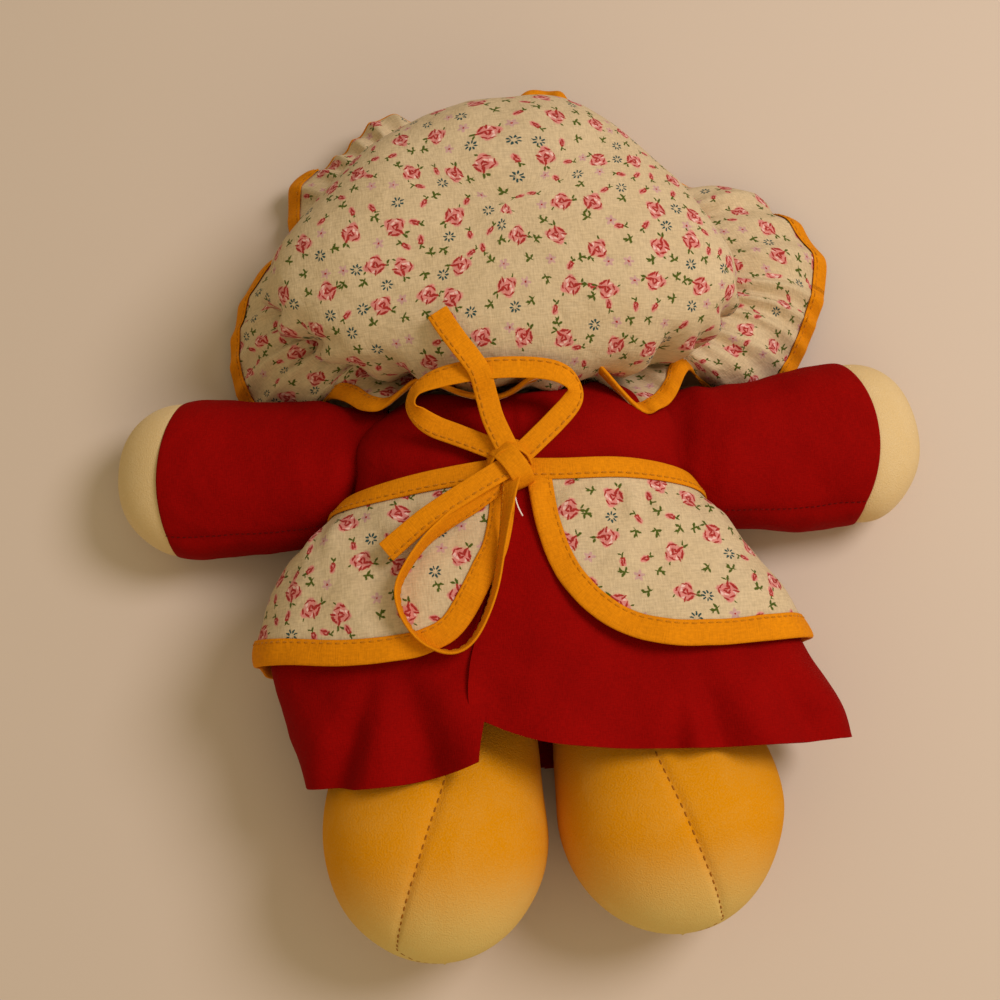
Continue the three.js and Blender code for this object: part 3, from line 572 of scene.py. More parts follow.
@dataclass(frozen=True)
class PrintedCotton(WovenCotton):
    """Cream cotton with a small all-over floral print, its motifs strewn and turned at will.

    Attributes:
        spacing: Usual distance between two small motifs in mm.
        rose_spacing: Usual distance between two roses in mm.
        rose_room: How near a rose's middle a small motif may not stand, in mm.
        ragged: How far the ink strays from a clean edge in mm.
        blot: Usual width of one such stray in mm.
    """

    spacing: float = 8.0
    rose_spacing: float = 19.0
    rose_room: float = 6.2
    ragged: float = 0.45
    blot: float = 10 / 11

    def cells(self, tree: Tree, place: Socket, spacing: float) -> Node:
        """Cells round middles that are strewn at a spacing in mm."""
        spot = add_node(tree, "VectorMath", {0: place, "Scale": 1 / spacing}, operation="SCALE")
        return add_node(tree, "TexVoronoi", {
            "Vector": spot, "Scale": 1.0, "Randomness": 0.6}, voronoi_dimensions="2D")

    def scatter(self, tree: Tree, cloth: Socket, spacing: float) -> tuple[Socket, Socket, Socket]:
        """Strews middles over the cloth and turns the place round each by chance.

        Args:
            tree: The material's nodes.
            cloth: The place on the flat cloth, in mm.
            spacing: Usual distance between two middles in mm.

        Returns:
            The place about the nearest middle, in mm, that middle, and its chance from 0 to 1.
        """
        cells = self.cells(tree, cloth, spacing)
        middle = add_node(tree, "VectorMath", {
            0: cells.outputs["Position"], "Scale": spacing}, operation="SCALE")
        offset = add_node(tree, "VectorMath", {0: cloth, 1: middle}, operation="SUBTRACT")
        chance = add_node(tree, "SeparateColor", {0: cells.outputs["Color"]})
        angle = add_node(tree, "Math", {0: chance, 1: TURN}, operation="MULTIPLY")
        turned = add_node(tree, "VectorRotate", {"Vector": offset, "Angle": angle}, rotation_type="Z_AXIS")
        stray = add_node(tree, "TexNoise", {"Vector": cloth, "Scale": 1 / self.blot, "Detail": 1.0})
        strayed = add_node(tree, "VectorMath", {
            0: stray.outputs["Color"], 1: (0.5, 0.5, 0.5)}, operation="SUBTRACT")
        local = add_node(tree, "VectorMath", {
            0: strayed, 1: (2 * self.ragged,) * 3, 2: turned}, operation="MULTIPLY_ADD")
        return local.outputs[0], middle.outputs[0], chance.outputs[1]

    def stamp(self, tree: Tree, colour: Socket, local: Socket, here: Node | float,
              dabs: Sequence[Dab]) -> Socket:
        """Prints the dabs of one motif.

        Args:
            tree: The material's nodes.
            colour: What is there so far.
            local: The place about the motif's middle, in mm.
            here: 1 where the motif stands and 0 elsewhere.
            dabs: Its dabs.

        Returns:
            The colour's output.
        """
        for dab in dabs:
            placed = add_node(tree, "Mapping", {
                "Vector": local, "Location": (dab.x, dab.y, 0),
                "Rotation": (0, 0, math.radians(dab.turn)), "Scale": (dab.long, dab.wide, 1)},
                vector_type="TEXTURE")
            away = add_node(tree, "VectorMath", {0: placed}, operation="LENGTH")
            cover = add_node(tree, "MapRange", {
                "Value": away.outputs["Value"], "From Min": 1.15, "From Max": 0.8, "To Max": here})
            colour = add_node(tree, "Mix", {
                0: cover, 6: colour, 7: linear(dab.ink.value)}, data_type="RGBA").outputs[2]
        return colour

    def ground(self, tree: Tree, cloth: Socket) -> Socket:
        """The cream cloth with every dab of the print on it.

        Args:
            tree: The material's nodes.
            cloth: The place on the flat cloth, in mm.

        Returns:
            The colour's output.
        """
        colour = super().ground(tree, cloth)
        local, middle, chance = self.scatter(tree, cloth, self.spacing)
        roses = self.cells(tree, middle, self.rose_spacing)
        clear = add_node(tree, "Math", {
            0: roses, 1: self.rose_room / self.rose_spacing}, operation="GREATER_THAN")
        for motif, dabs in DITSY.items():
            low, high = motif.value
            above = add_node(tree, "Math", {0: chance, 1: low}, operation="GREATER_THAN")
            below = add_node(tree, "Math", {0: chance, 1: high}, operation="LESS_THAN")
            between = add_node(tree, "Math", {0: above, 1: below}, operation="MULTIPLY")
            here = add_node(tree, "Math", {0: between, 1: clear}, operation="MULTIPLY")
            colour = self.stamp(tree, colour, local, here, dabs)
        return self.stamp(tree, colour, self.scatter(tree, cloth, self.rose_spacing)[0], 1.0, ROSE)


@dataclass(frozen=True)
class Velour(Finish):
    """Knitted velour: a short cut pile that looks paler where it is brushed or seen along, with a painted
    sheen that pales one end.

    Attributes:
        pale: The colour of brushed pile, and of the painted sheen at the end of the piece.
        pile: Width of a tuft in mm, drawn coarser than the real 0.2 mm so that it shows.
        stroke: Usual width of a brushed place in mm.
        painted_sheen: Heights along the body, in mm, between which the painted sheen comes in and grows to
            its fullest.
    """

    pale: str = "#EFE3C4"
    pile: float = 0.6
    stroke: float = 100 / 7
    painted_sheen: Span = (-900.0, -1000.0)

    def paint(self) -> Material:
        """Lays the pile, its brushed places and the painted sheen at its end.

        Returns:
            The material.
        """
        material, tree, shader = self.begin()
        place = add_node(tree, "TexCoord").outputs["Object"]
        mm = add_node(tree, "Mapping", {"Vector": place, "Scale": PER_MM})
        tufts = add_node(tree, "TexNoise", {"Vector": mm, "Scale": 1 / self.pile, "Detail": 2.0})
        brushed = add_node(tree, "TexNoise", {
            "Vector": mm, "Scale": 1 / self.stroke, "Detail": 4.0, "Distortion": 0.6})
        height = add_node(tree, "SeparateXYZ", {0: mm})
        # Painted sheen: between the given heights towards the toe end, the colour goes over to pale.
        end = add_node(tree, "MapRange", {
            "Value": height.outputs[1], "From Min": self.painted_sheen[0], "From Max": self.painted_sheen[1], "To Max": 0.75},
            interpolation_type="SMOOTHSTEP")
        patch = add_node(tree, "MapRange", {
            "Value": brushed, "From Min": 0.45, "From Max": 0.8, "To Max": 0.07})
        grain = add_node(tree, "MapRange", {"Value": tufts, "From Min": 0.4, "From Max": 0.7, "To Max": 0.1})
        share = add_node(tree, "Math", {0: end, 1: patch}, operation="ADD")
        both = add_node(tree, "Math", {0: share, 1: grain}, operation="ADD", use_clamp=True)
        colour = add_node(tree, "Mix", {
            0: both, 6: linear(self.colour), 7: linear(self.pale)}, data_type="RGBA")
        bump = add_node(tree, "Bump", {"Height": tufts, "Strength": 0.6, "Distance": 0.5 * MM})
        tree.links.new(colour.outputs[2], shader.inputs["Base Color"])
        tree.links.new(bump.outputs[0], shader.inputs["Normal"])
        shader.inputs["Sheen Tint"].default_value = linear(self.pale)
        return material


@dataclass(frozen=True)
class TwistedThread(Finish):
    """Twisted or covered thread: plies with painted light on them and painted shade between them, lighter and
    darker by turns.

    Attributes:
        ply: Width of one ply in mm, drawn coarser than the real 0.15 mm so that it shows.
        groove: How much darker the painted shade makes the thread between two plies, as a share.
    """

    ply: float = 0.3
    groove: float = 0.25

    def paint(self) -> Material:
        """Lays the plies' relief, with painted light on the plies and painted shade in the grooves between
        them.

        Returns:
            The material.
        """
        material, tree, shader = self.begin()
        place = add_node(tree, "TexCoord").outputs["Object"]
        mm = add_node(tree, "Mapping", {"Vector": place, "Scale": PER_MM})
        plies = add_node(tree, "TexNoise", {"Vector": mm, "Scale": 1 / self.ply, "Detail": 1.0})
        # Painted light and shade: the thread's colour is scaled lighter on the plies and darker between them.
        light = add_node(tree, "MapRange", {
            "Value": plies, "From Min": 0.35, "From Max": 0.6, "To Min": 1 - self.groove, "To Max": 1.1})
        colour = add_node(tree, "VectorMath", {
            0: linear(self.colour)[:3], "Scale": light}, operation="SCALE")
        bump = add_node(tree, "Bump", {"Height": plies, "Strength": 0.5, "Distance": 0.1 * MM})
        tree.links.new(colour.outputs[0], shader.inputs["Base Color"])
        tree.links.new(bump.outputs[0], shader.inputs["Normal"])
        return material


# Red dress cotton, piece-dyed: deep and flat, darker where the dye is uneven.
RED_COTTON = WovenCotton("red_plain_weave_cotton", "#8D0603", shade="#760302", sheen=0.0, shine=0.04,
                         thread=0.45, crease=14.0, crease_depth=0.8)
# Cream cotton, roller-printed: the print sits in the cloth and doesn't shine.
PRINTED_COTTON = PrintedCotton("printed_plain_weave_cotton", "#CEB78F", shade="#C2A87C", crease_depth=0.6,
                               sheen=0.05, shine=0.08)
# Bias tape, folded and pressed cotton: smooth and even, creased only by its stitches.
BIAS_TAPE = WovenCotton("yellow_bias_tape", "#DC8607", shade="#CE7804", thread=0.5, crease=6.0,
                        crease_depth=0.2, sheen=0.0, shine=0.08)
# Body calico, unbleached plain weave.
CALICO = WovenCotton("unbleached_calico", "#DFD0AE", shade="#CFBD96")
# Boot velour, yellow knitted pile, with a painted sheen that pales it towards the toes.
BOOT_VELOUR = Velour("yellow_knitted_velour", "#D68A02", roughness=0.95, sheen=0.1, shine=0.04,
                     pale="#D8C67C", painted_sheen=(-134.0, -176.0))
# Skin velour, cream knitted pile.
SKIN_VELOUR = Velour("cream_knitted_velour", "#D5B67E", roughness=0.95, sheen=0.2, shine=0.05)
# Sewing thread, twisted cotton.
YELLOW_THREAD = TwistedThread("yellow_sewing_thread", "#C2780A", shine=0.05)
RED_THREAD = TwistedThread("red_sewing_thread", "#5E0302", shine=0.05)
BOOT_THREAD = TwistedThread("brown_sewing_thread", "#A0600C")
WHITE_THREAD = TwistedThread("white_sewing_thread", "#EFE9DA")
# Embroidery thread, stranded cotton.
BROWN_STRANDS = TwistedThread("brown_embroidery_thread", "#3B2314", roughness=0.55)
ROSE_STRANDS = TwistedThread("rose_embroidery_thread", "#B4473F", roughness=0.55)
# Table paint, matt and even: a plain ground for the doll.
TABLE_PAINT = Finish("matt_beige_table", "#CFBDA8", roughness=0.7, sheen=0)
# Covered cord elastic.
CORD_ELASTIC = TwistedThread("covered_cord_elastic", "#F4F1E8")


def settle(obj: Piece, finish: Finish, body: str | None = None,
           nodes: Sequence[str] = ()) -> Piece:
    """Dresses a piece and sets it on its body.

    Args:
        obj: The piece, in place.
        finish: What it is made of.
        body: The body that it rides on, or None to leave it on no body.
        nodes: The solids that it stands for.

    Returns:
        The same object.
    """
    obj.data.materials.append(finish.make())
    if nodes:
        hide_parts(*nodes)
    if body:
        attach(obj, body)
    LOG.info("%s: %s", obj.name, finish.name)
    return obj


# Stitches and tapes


@dataclass(frozen=True)
class StitchRow:
    """A row of stitches along a line.

    Attributes:
        pitch: Distance from one stitch to the next in mm.
        long: Length of a stitch in mm.
        half: Half its height in mm.
        broad: How many times wider than high it is.
        stations: Its sections, each as a share of its half length and of its size.
    """

    pitch: float = 3.2
    long: float = 2.2
    half: float = 0.27
    broad: float = 1.3
    sides: int = 6
    stations: Spans = ((-1, 0.4), (-0.6, 1), (0.6, 1), (1, 0.4))

    def build(self, name: str, line: Array, normals: Array) -> Piece:
        """Lays the row as one mesh.

        Args:
            name: The piece's name.
            line: Points in mm along the row.
            normals: The direction out of the cloth at each.

        Returns:
            The new object.
        """
        run = run_along(line)
        centres = np.arange(self.pitch / 2, run[-1], self.pitch)
        half, n = self.long / 2, self.sides
        along = unit(read_along(line, run, centres + half) - read_along(line, run, centres - half))
        out = unit(read_along(normals, run, centres))
        across = unit(np.cross(out, along))
        middle = read_along(line, run, centres)
        points, faces = [], []
        for k in range(len(centres)):
            base = len(points)
            for share, size in self.stations:
                for s in range(n):
                    a = TURN * s / n
                    points.append(middle[k] + along[k] * half * share + self.half * size
                                  * (across[k] * self.broad * math.cos(a) + out[k] * math.sin(a)))
            last = len(points) - n
            for low in range(base, last, n):
                faces += [[low + s, low + (s + 1) % n, low + n + (s + 1) % n, low + n + s] for s in range(n)]
            faces += [[base + s for s in reversed(range(n))], [last + s for s in range(n)]]
        made = make_object(name, np.array(points), faces, middle.mean(0))
        fix_normals(made)
        return made


def fix_normals(obj: Piece) -> None:
    """Turns every closed shell of a mesh to look outwards.

    Args:
        obj: The piece.
    """
    work = bmesh.new()
    work.from_mesh(obj.data)
    bmesh.ops.recalc_face_normals(work, faces=work.faces)
    work.to_mesh(obj.data)
    work.free()


# The rows of topstitches on the tapes, and of seam stitches on the boots and the sleeves.
TOPSTITCH = StitchRow()
BOOT_SEAM = StitchRow(3.4, 1.9, 0.26)
SLEEVE_SEAM = StitchRow(2.3, 1.4, 0.2)


@dataclass(frozen=True)
class Tape:
    """Folded bias tape.

    Attributes:
        width: Width in mm.
        thickness: Thickness in mm where it lies free.
        stitch_in: Distance of the stitches from the tape's open edge.
        stitch_lift: Height of the stitches above the cloth that it binds.
        section: Section of a free length, in shares of its half width and half thickness.
    """

    width: float = 8.5
    thickness: float = 1.3
    stitch_in: float = 1.7
    stitch_lift: float = 0.85
    section: Spans = (
        (-1, 0), (-0.93, 0.75), (-0.6, 1), (0, 0.92), (0.55, 1), (0.72, 0.7), (0.93, 0.75), (1, 0),
        (0.93, -0.75), (0.55, -1), (-0.55, -1), (-0.93, -0.75))

    def ribbon(self, name: str, line: Array, normals: Array) -> Piece:
        """A free length of tape.

        Args:
            name: The piece's name.
            line: Points in mm along its middle.
            normals: The direction out of its flat face at each.

        Returns:
            The new object.
        """
        along = unit(np.gradient(line, axis=0))
        across = unit(np.cross(along, normals))
        out = unit(np.cross(across, along))
        w, t = self.width / 2, self.thickness / 2
        rings = np.stack([line + across * (w * a) + out * (t * b) for a, b in self.section], 1)
        round_it = np.linspace(0, 2 * self.width, len(self.section) + 1)
        uv = np.stack(np.meshgrid(round_it, run_along(line)), -1)
        made = Skin(rings, uv, loop=True, tips=(line[0], line[-1])).build(name, line.mean(0))
        fix_normals(made)
        return thicken(made, 0)

    def stitches(self, name: str, line: Array, normals: Array) -> Piece:
        """The row of stitches beside the open edge of a free length of tape.

        Args:
            name: The piece's name.
            line: Points in mm along the tape's middle.
            normals: The direction out of its flat face at each.

        Returns:
            The new object.
        """
        across = unit(np.cross(unit(np.gradient(line, axis=0)), normals))
        aside = across * (self.width / 2 - self.stitch_in)
        return TOPSTITCH.build(name, line - aside + unit(normals) * 0.5 * self.thickness, normals)

    def binding(self, name: str, surface: Surface, loop: bool = False) -> Piece:
        """Tape folded over a cloth's edge.

        Args:
            name: The piece's name.
            surface: Gives points on the cloth at a distance in from its edge, all along the
                edge, and the direction out of the cloth at each.
            loop: Whether the edge closes on itself.

        Returns:
            The new object.
        """
        w = self.width
        # Distance in from the edge and height above the cloth, from the open edge round the fold.
        section = ((w, 0.2), (w - 0.3, 0.95), (w - self.stitch_in, 0.8), (w - 3.2, 1.15), (0.4 * w, 1.25),
                   (1.0, 1.2), (-0.7, 0.95), (-1.1, 0.2), (-0.8, -0.55), (0.6, -0.95), (0.6 * w, -0.95),
                   (0.6 * w, -0.55), (0.5, -0.5), (0.1, 0.0), (0.5, 0.15))
        columns = []
        for inset, lift in section:
            points, normals = surface(inset)
            columns.append(points + normals * lift)
        rings = np.stack(columns, 1)
        if loop:
            made = closed_band(name, rings)
        else:
            tips = (rings[0].mean(0), rings[-1].mean(0))
            made = Skin(rings, None, loop=True, tips=tips).build(name, rings.mean((0, 1)))
        lay_band_uv(made, rings)
        fix_normals(made)
        return thicken(made, 0)

    def binding_stitches(self, name: str, surface: Surface) -> Piece:
        """The row of stitches that holds a binding."""
        points, normals = surface(self.width - self.stitch_in)
        return TOPSTITCH.build(name, points + normals * self.stitch_lift, normals)


def closed_band(name: str, rings: Array) -> Piece:
    """A band whose last section joins its first.

    Args:
        name: The piece's name.
        rings: Sections of points in mm, in order round the band.

    Returns:
        The new object.
    """
    count, sides = rings.shape[:2]
    i, k = np.meshgrid(np.arange(count), np.arange(sides), indexing="ij")
    i2, k2 = (i + 1) % count, (k + 1) % sides
    quads = np.stack([i * sides + k, i * sides + k2, i2 * sides + k2, i2 * sides + k], -1).reshape(-1, 4)
    return make_object(name, rings.reshape(-1, 3), quads.tolist(), rings.mean((0, 1)))


def lay_band_uv(obj: Piece, rings: Array, step: float = 1.2) -> None:
    """Gives a band its place on the flat tape: along it and across it.

    Args:
        obj: The band.
        rings: Its sections of points in mm.
        step: Distance in mm across the tape from one point of a section to the next.
    """
    count, sides = rings.shape[:2]
    run = run_along(rings.mean(1))
    ends = [(0, 0)] * 2
    place = np.array([(run[i], step * k) for i in range(count) for k in range(sides)] + ends)
    layer = obj.data.uv_layers.get("cloth") or obj.data.uv_layers.new(name="cloth")
    at = np.zeros(len(obj.data.loops), int)
    obj.data.loops.foreach_get("vertex_index", at)
    layer.data.foreach_set("uv", (place[at] * MM).astype(np.float32).ravel())


TAPE = Tape()
FRILL_TAPE = Tape(6.8)
THREAD_END = Tape(0.5, 0.4)


# The shape under the clothes


@dataclass(frozen=True)
class DressForm:
    """The shape that the dress and the apron lie on: a rounded section at each height.

    Attributes:
        left: Half width on the doll's left at each height.
        right: Half width on the doll's right.
        back: Height of the middle of the back.
        front: Height of the middle of the front.
        back_square: How square the section is over the back.
        front_square: How square it is over the front, which lies on the table.
        samples: Points round one half.
    """

    left: Profile = Profile((
        (-112, 87), (-100, 90), (-85, 95), (-66, 99.5), (-50, 100), (-35, 97), (-20, 87), (-11, 76),
        (-3, 68), (8, 64), (20, 62.5), (30, 56), (42, 40), (50, 34)))
    right: Profile = Profile((
        (-112, 113), (-100, 111), (-85, 105.5), (-66, 97), (-50, 90.5), (-35, 84), (-20, 74), (-11, 67),
        (-3, 63), (8, 62), (20, 61.5), (30, 56), (42, 40), (50, 34)))
    back: Profile = Profile((
        (-112, 80), (-85, 82), (-60, 82), (-35, 80), (-15, 77), (0, 75), (14, 74), (26, 69), (36, 59),
        (42, 51), (50, 47)))
    front: Profile = Profile((
        (-112, 3.4), (-10, 3.4), (0, 4), (14, 8), (26, 15), (36, 22), (42, 28), (50, 30)))
    back_square: Profile = Profile(((-112, 2.5), (-60, 2.6), (-20, 2.4), (0, 2.3), (50, 2.2)))
    front_square: Profile = Profile(((-112, 5), (-40, 5), (0, 2.6), (50, 2.2)))
    samples: int = 140

    def half_ring(self, side: Side, y: Array) -> Array:
        """Points from the middle of the back round one side to the middle of the front.

        Args:
            side: Which side.
            y: Heights up the body.

        Returns:
            For each height, the points round.
        """
        angle = np.linspace(0, math.pi, self.samples)[None, :]
        y = np.asarray(y, float)[:, None]
        width = (self.left if side is Side.LEFT else self.right)(y)
        top, low = self.back(y), self.front(y)
        square = np.where(np.cos(angle) < 0, self.front_square(y), self.back_square(y))
        x = side.value * width * full(np.sin(angle), square)
        z = (top + low) / 2 + (top - low) / 2 * full(np.cos(angle), square)
        return np.stack([x, np.broadcast_to(y, x.shape), z], -1)

    def reach(self, side: Side, y: Array) -> Array:
        """How far it is round one side.

        Args:
            side: Which side.
            y: Heights up the body.

        Returns:
            The distance from the middle of the back to the middle of the front at each height.
        """
        ring = self.half_ring(side, np.ravel(y))
        steps = np.linalg.norm(np.diff(ring, axis=1), axis=2)
        return steps.sum(1).reshape(np.shape(y))

    def spot(self, side: Side, q: Array, y: Array) -> Array:
        """Places on the form.

        Args:
            side: Which side.
            q: Distance round the body from the middle of the back, below 0 past it.
            y: Height up the body, in the same grid.

        Returns:
            The places in mm.
        """
        shape = np.shape(q)
        q, y = np.ravel(q), np.ravel(y)
        ring = self.half_ring(side, y)
        run = np.concatenate([np.zeros((len(y), 1)),
                              np.cumsum(np.linalg.norm(np.diff(ring, axis=1), axis=2), 1)], 1)
        at = np.minimum(np.abs(q), run[:, -1])
        i = np.clip((run < at[:, None]).sum(1), 1, self.samples - 1)
        n = np.arange(len(y))
        t = ((at - run[n, i - 1]) / np.maximum(run[n, i] - run[n, i - 1], 1e-9))[:, None]
        made = ring[n, i - 1] * (1 - t) + ring[n, i] * t
        made[:, 0] *= np.where(q < 0, -1, 1)
        return made.reshape(*shape, 3)

    def normal(self, side: Side, q: Array, y: Array, step: float = 1.5) -> Array:
        """The direction out of the form.

        Args:
            side: Which side.
            q: Distance round the body from the middle of the back.
            y: Height up the body, in the same grid.
            step: Distance in mm over which the slope is taken.

        Returns:
            The direction at each place.
        """
        round_it = self.spot(side, q + step, y) - self.spot(side, q - step, y)
        up = self.spot(side, q, y + step) - self.spot(side, q, y - step)
        return unit(np.cross(round_it, up) * side.value)

    def lay(self, side: Side, q: Array, y: Array, lift: Array | float) -> Array:
        """Places at a height above the form."""
        return self.spot(side, q, y) + self.normal(side, q, y) * np.asarray(lift)[..., None]


FORM = DressForm()
TORSO_MIDDLE = (0.0, -10.0, 38.0)
# Distances from the middle between which the skirt and the apron go over to each leg.
INNER_THIGH = {Side.LEFT: (4.0, 34.0), Side.RIGHT: (-4.0, 26.0)}
# Height of the middle of the apron's tie at each distance round the body.
TIE_HEIGHT = {
    Side.LEFT: Profile(((0, 0), (12, -0.5), (32, -2), (62, -5), (90, -6), (200, -5))),
    Side.RIGHT: Profile(((0, -1), (12, -2), (36, -2.6), (60, -5.5), (80, -8), (110, -7), (200, -5))),
}
# Turn of the head and the cap on the neck in degrees, and the height that they turn about.
CROOKED = -5.0
CROOKED_ABOUT = 80.0


def askew(points: Array, share: Array | float = 1.0) -> Array:
    """Turns places on the head or the cap, which sit a little crooked on the neck.

    Args:
        points: Places in mm, in any grid.
        share: Share of the turn, for all or for each place.

    Returns:
        The turned places.
    """
    turn = math.radians(CROOKED) * np.asarray(share, float)
    x, up = points[..., 0], points[..., 1] - CROOKED_ABOUT
    return np.stack([x * np.cos(turn) - up * np.sin(turn),
                     CROOKED_ABOUT + x * np.sin(turn) + up * np.cos(turn), points[..., 2]], -1)


def bend_at_nape(obj: Piece) -> None:
    """Bakes a piece's place into its points; the piece is left on no body."""
    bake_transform(obj)


def hip_weights(obj: Piece, side: Side, fall: Span,
                spread: Span) -> None:
    """Bakes a piece of skirt or apron in place and works out how far each point would bend with one leg; the
    weights are not kept.

    Args:
        obj: The piece, still free.
        side: The leg's side.
        fall: Heights between which the cloth goes over from the torso to the leg.
        spread: Distances from the middle between which it does so.
    """
    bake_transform(obj)
    places = np.zeros(3 * len(obj.data.vertices))
    obj.data.vertices.foreach_get("co", places)
    places = places.reshape(-1, 3) / MM
    weight = smoothstep(-places[:, 1], -fall[0], -fall[1])
    weight *= smoothstep(side.value * places[:, 0], *spread)


# Stuffed pieces


@dataclass
class StuffedForm:
    """A stuffed bag with rings along a line, flattened where it rests.

    Attributes:
        squareness: Fullness of its section.
        ease: Height above its floor, in mm, below which it flattens.
    """

    rows: int = 40
    cols: int = 72
    squareness: float = 2.2
    ease: float = 6.0

    def rings(self, centres: Array, across: Array, half_across: Array, half_up: Array,
              floor: Array | float, angles: Array) -> Array:
        """Rings round a line.

        Args:
            centres: Middle of each ring.
            across: Direction of the ring's width, for all or for each.
            half_across: Half width of each ring.
            half_up: Half height of each ring.
            floor: Lowest height that each may have.
            angles: Places round each ring, from its across direction.

        Returns:
            The rings' points.
        """
        c = full(np.cos(angles), self.squareness)[..., None]
        s = full(np.sin(angles), self.squareness)[..., None]
        points = (centres[:, None, :] + across[:, None, :] * half_across[:, None, None] * c
                  + UP * half_up[:, None, None] * s)
        low = np.broadcast_to(np.asarray(floor, float), (len(centres),))[:, None]
        gap = points[..., 2] - low
        flat = self.ease * (np.exp(np.minimum(gap, self.ease) / self.ease - 1) - math.exp(-3))
        points[..., 2] = np.where(gap > self.ease, points[..., 2], low + np.maximum(flat, 0))
        return points


@dataclass
class Boot(StuffedForm):
    """A leg that ends in an egg-shaped boot, with a seam down its back.

    Attributes:
        hip: Upper end of its middle: outwards, up the body and above the table.
        splay: How far its middle goes outwards, and down, from there to the boot.
        round_from: Share of the length where the boot starts to round off.
        clear: Room in mm for the dress under the leg, and the heights between which it ends.
        seam: Sideways place of the seam from the boot's middle at each height.
        seam_swing: Factor on that place, below 0 for the other way.
    """

    rows: int = 54
    cols: int = 84
    side: Side = Side.LEFT
    hip: Place = (36.0, -57.4, 38.2)
    splay: Span = (8.0, 1.2)
    length: float = 116.5
    width: Profile = Profile(((0, 22), (0.2, 33), (0.42, 40), (0.6, 42.2), (0.75, 42.2), (1, 42)))
    depth: Profile = Profile(((0, 5.5), (0.08, 9), (0.22, 21), (0.4, 33), (0.62, 38.5), (1, 38.5)))
    round_from: float = 0.56
    clear: Place = (5.2, -128.0, -112.0)
    seam: Profile = Profile(((-175, -21), (-157, -14), (-134, -4), (-110, 5), (-57, 2)))
    seam_swing: float = 1.0
    seam_limit: float = 0.85
    groove: float = 1.1

    def build(self) -> None:
        """Makes the leg, its seam and its stitches."""
        label, sign = self.side.label, self.side.value
        t = np.sin(np.linspace(0, 1, self.rows) ** 0.9 * math.pi / 2 * 0.995)
        lower = smoothstep(t, 0, 0.6)
        x = sign * (self.hip[0] + self.splay[0] * lower)
        y = self.hip[1] - t * self.length
        z = self.hip[2] - self.splay[1] * lower
        end = np.sqrt(1 - np.clip((t - self.round_from) / (1 - self.round_from), 0, 1) ** 2.2)
        floor = self.clear[0] * smoothstep(y, *self.clear[1:])
        half_w, half_d = self.width(t) * end, self.depth(t) * end
        offset = self.seam_swing * self.seam(y) / np.maximum(half_w, 6)
        offset = np.clip(offset, -self.seam_limit, self.seam_limit)
        start = np.arccos(np.sign(offset) * np.abs(offset) ** (self.squareness / 2))
        share = np.linspace(-1, 1, self.cols, endpoint=False)
        around = math.pi * np.sign(share) * np.abs(share) ** 1.55
        centres = np.stack([x, y, z], 1)
        points = self.rings(centres, ACROSS, half_w, half_d, floor, start[:, None] + around)
        out = unit(points - centres[:, None, :])
        distance = np.abs(around) * half_w[:, None]
        dip = np.exp(-(distance / 1.7) ** 2) + 0.45 * np.exp(-(distance / 6) ** 2)
        pucker = np.sin(y / 3.0 * TURN)[:, None] * np.exp(-(distance / 3.5) ** 2) * 0.15
        visible = smoothstep(-t, -0.995, -0.93)[:, None]
        points = points - out * ((dip * self.groove) * visible + pucker)[..., None]
        points += out * (ripple(points, 32, 3.0 + sign) * 0.9 * visible)[..., None]
        tips = (centres[0] + [0, 3, 0], centres[-1] - [0, 0.6, 0])
        name = f"{label}_boot"
        leg = thicken(Skin(points, None, True, tips).build(name, centres[20]), 0)
        sewn = (slice(6, -2), self.cols // 2)
        seam = BOOT_SEAM.build(f"{name}_stitches", points[sewn] + out[sewn] * 0.05, out[sewn])
        settle(seam, BOOT_THREAD, f"{label}_leg")
        settle(leg, BOOT_VELOUR, f"{label}_leg",
               [f"{label}_leg_skin", f"{label}_leg_fill"])


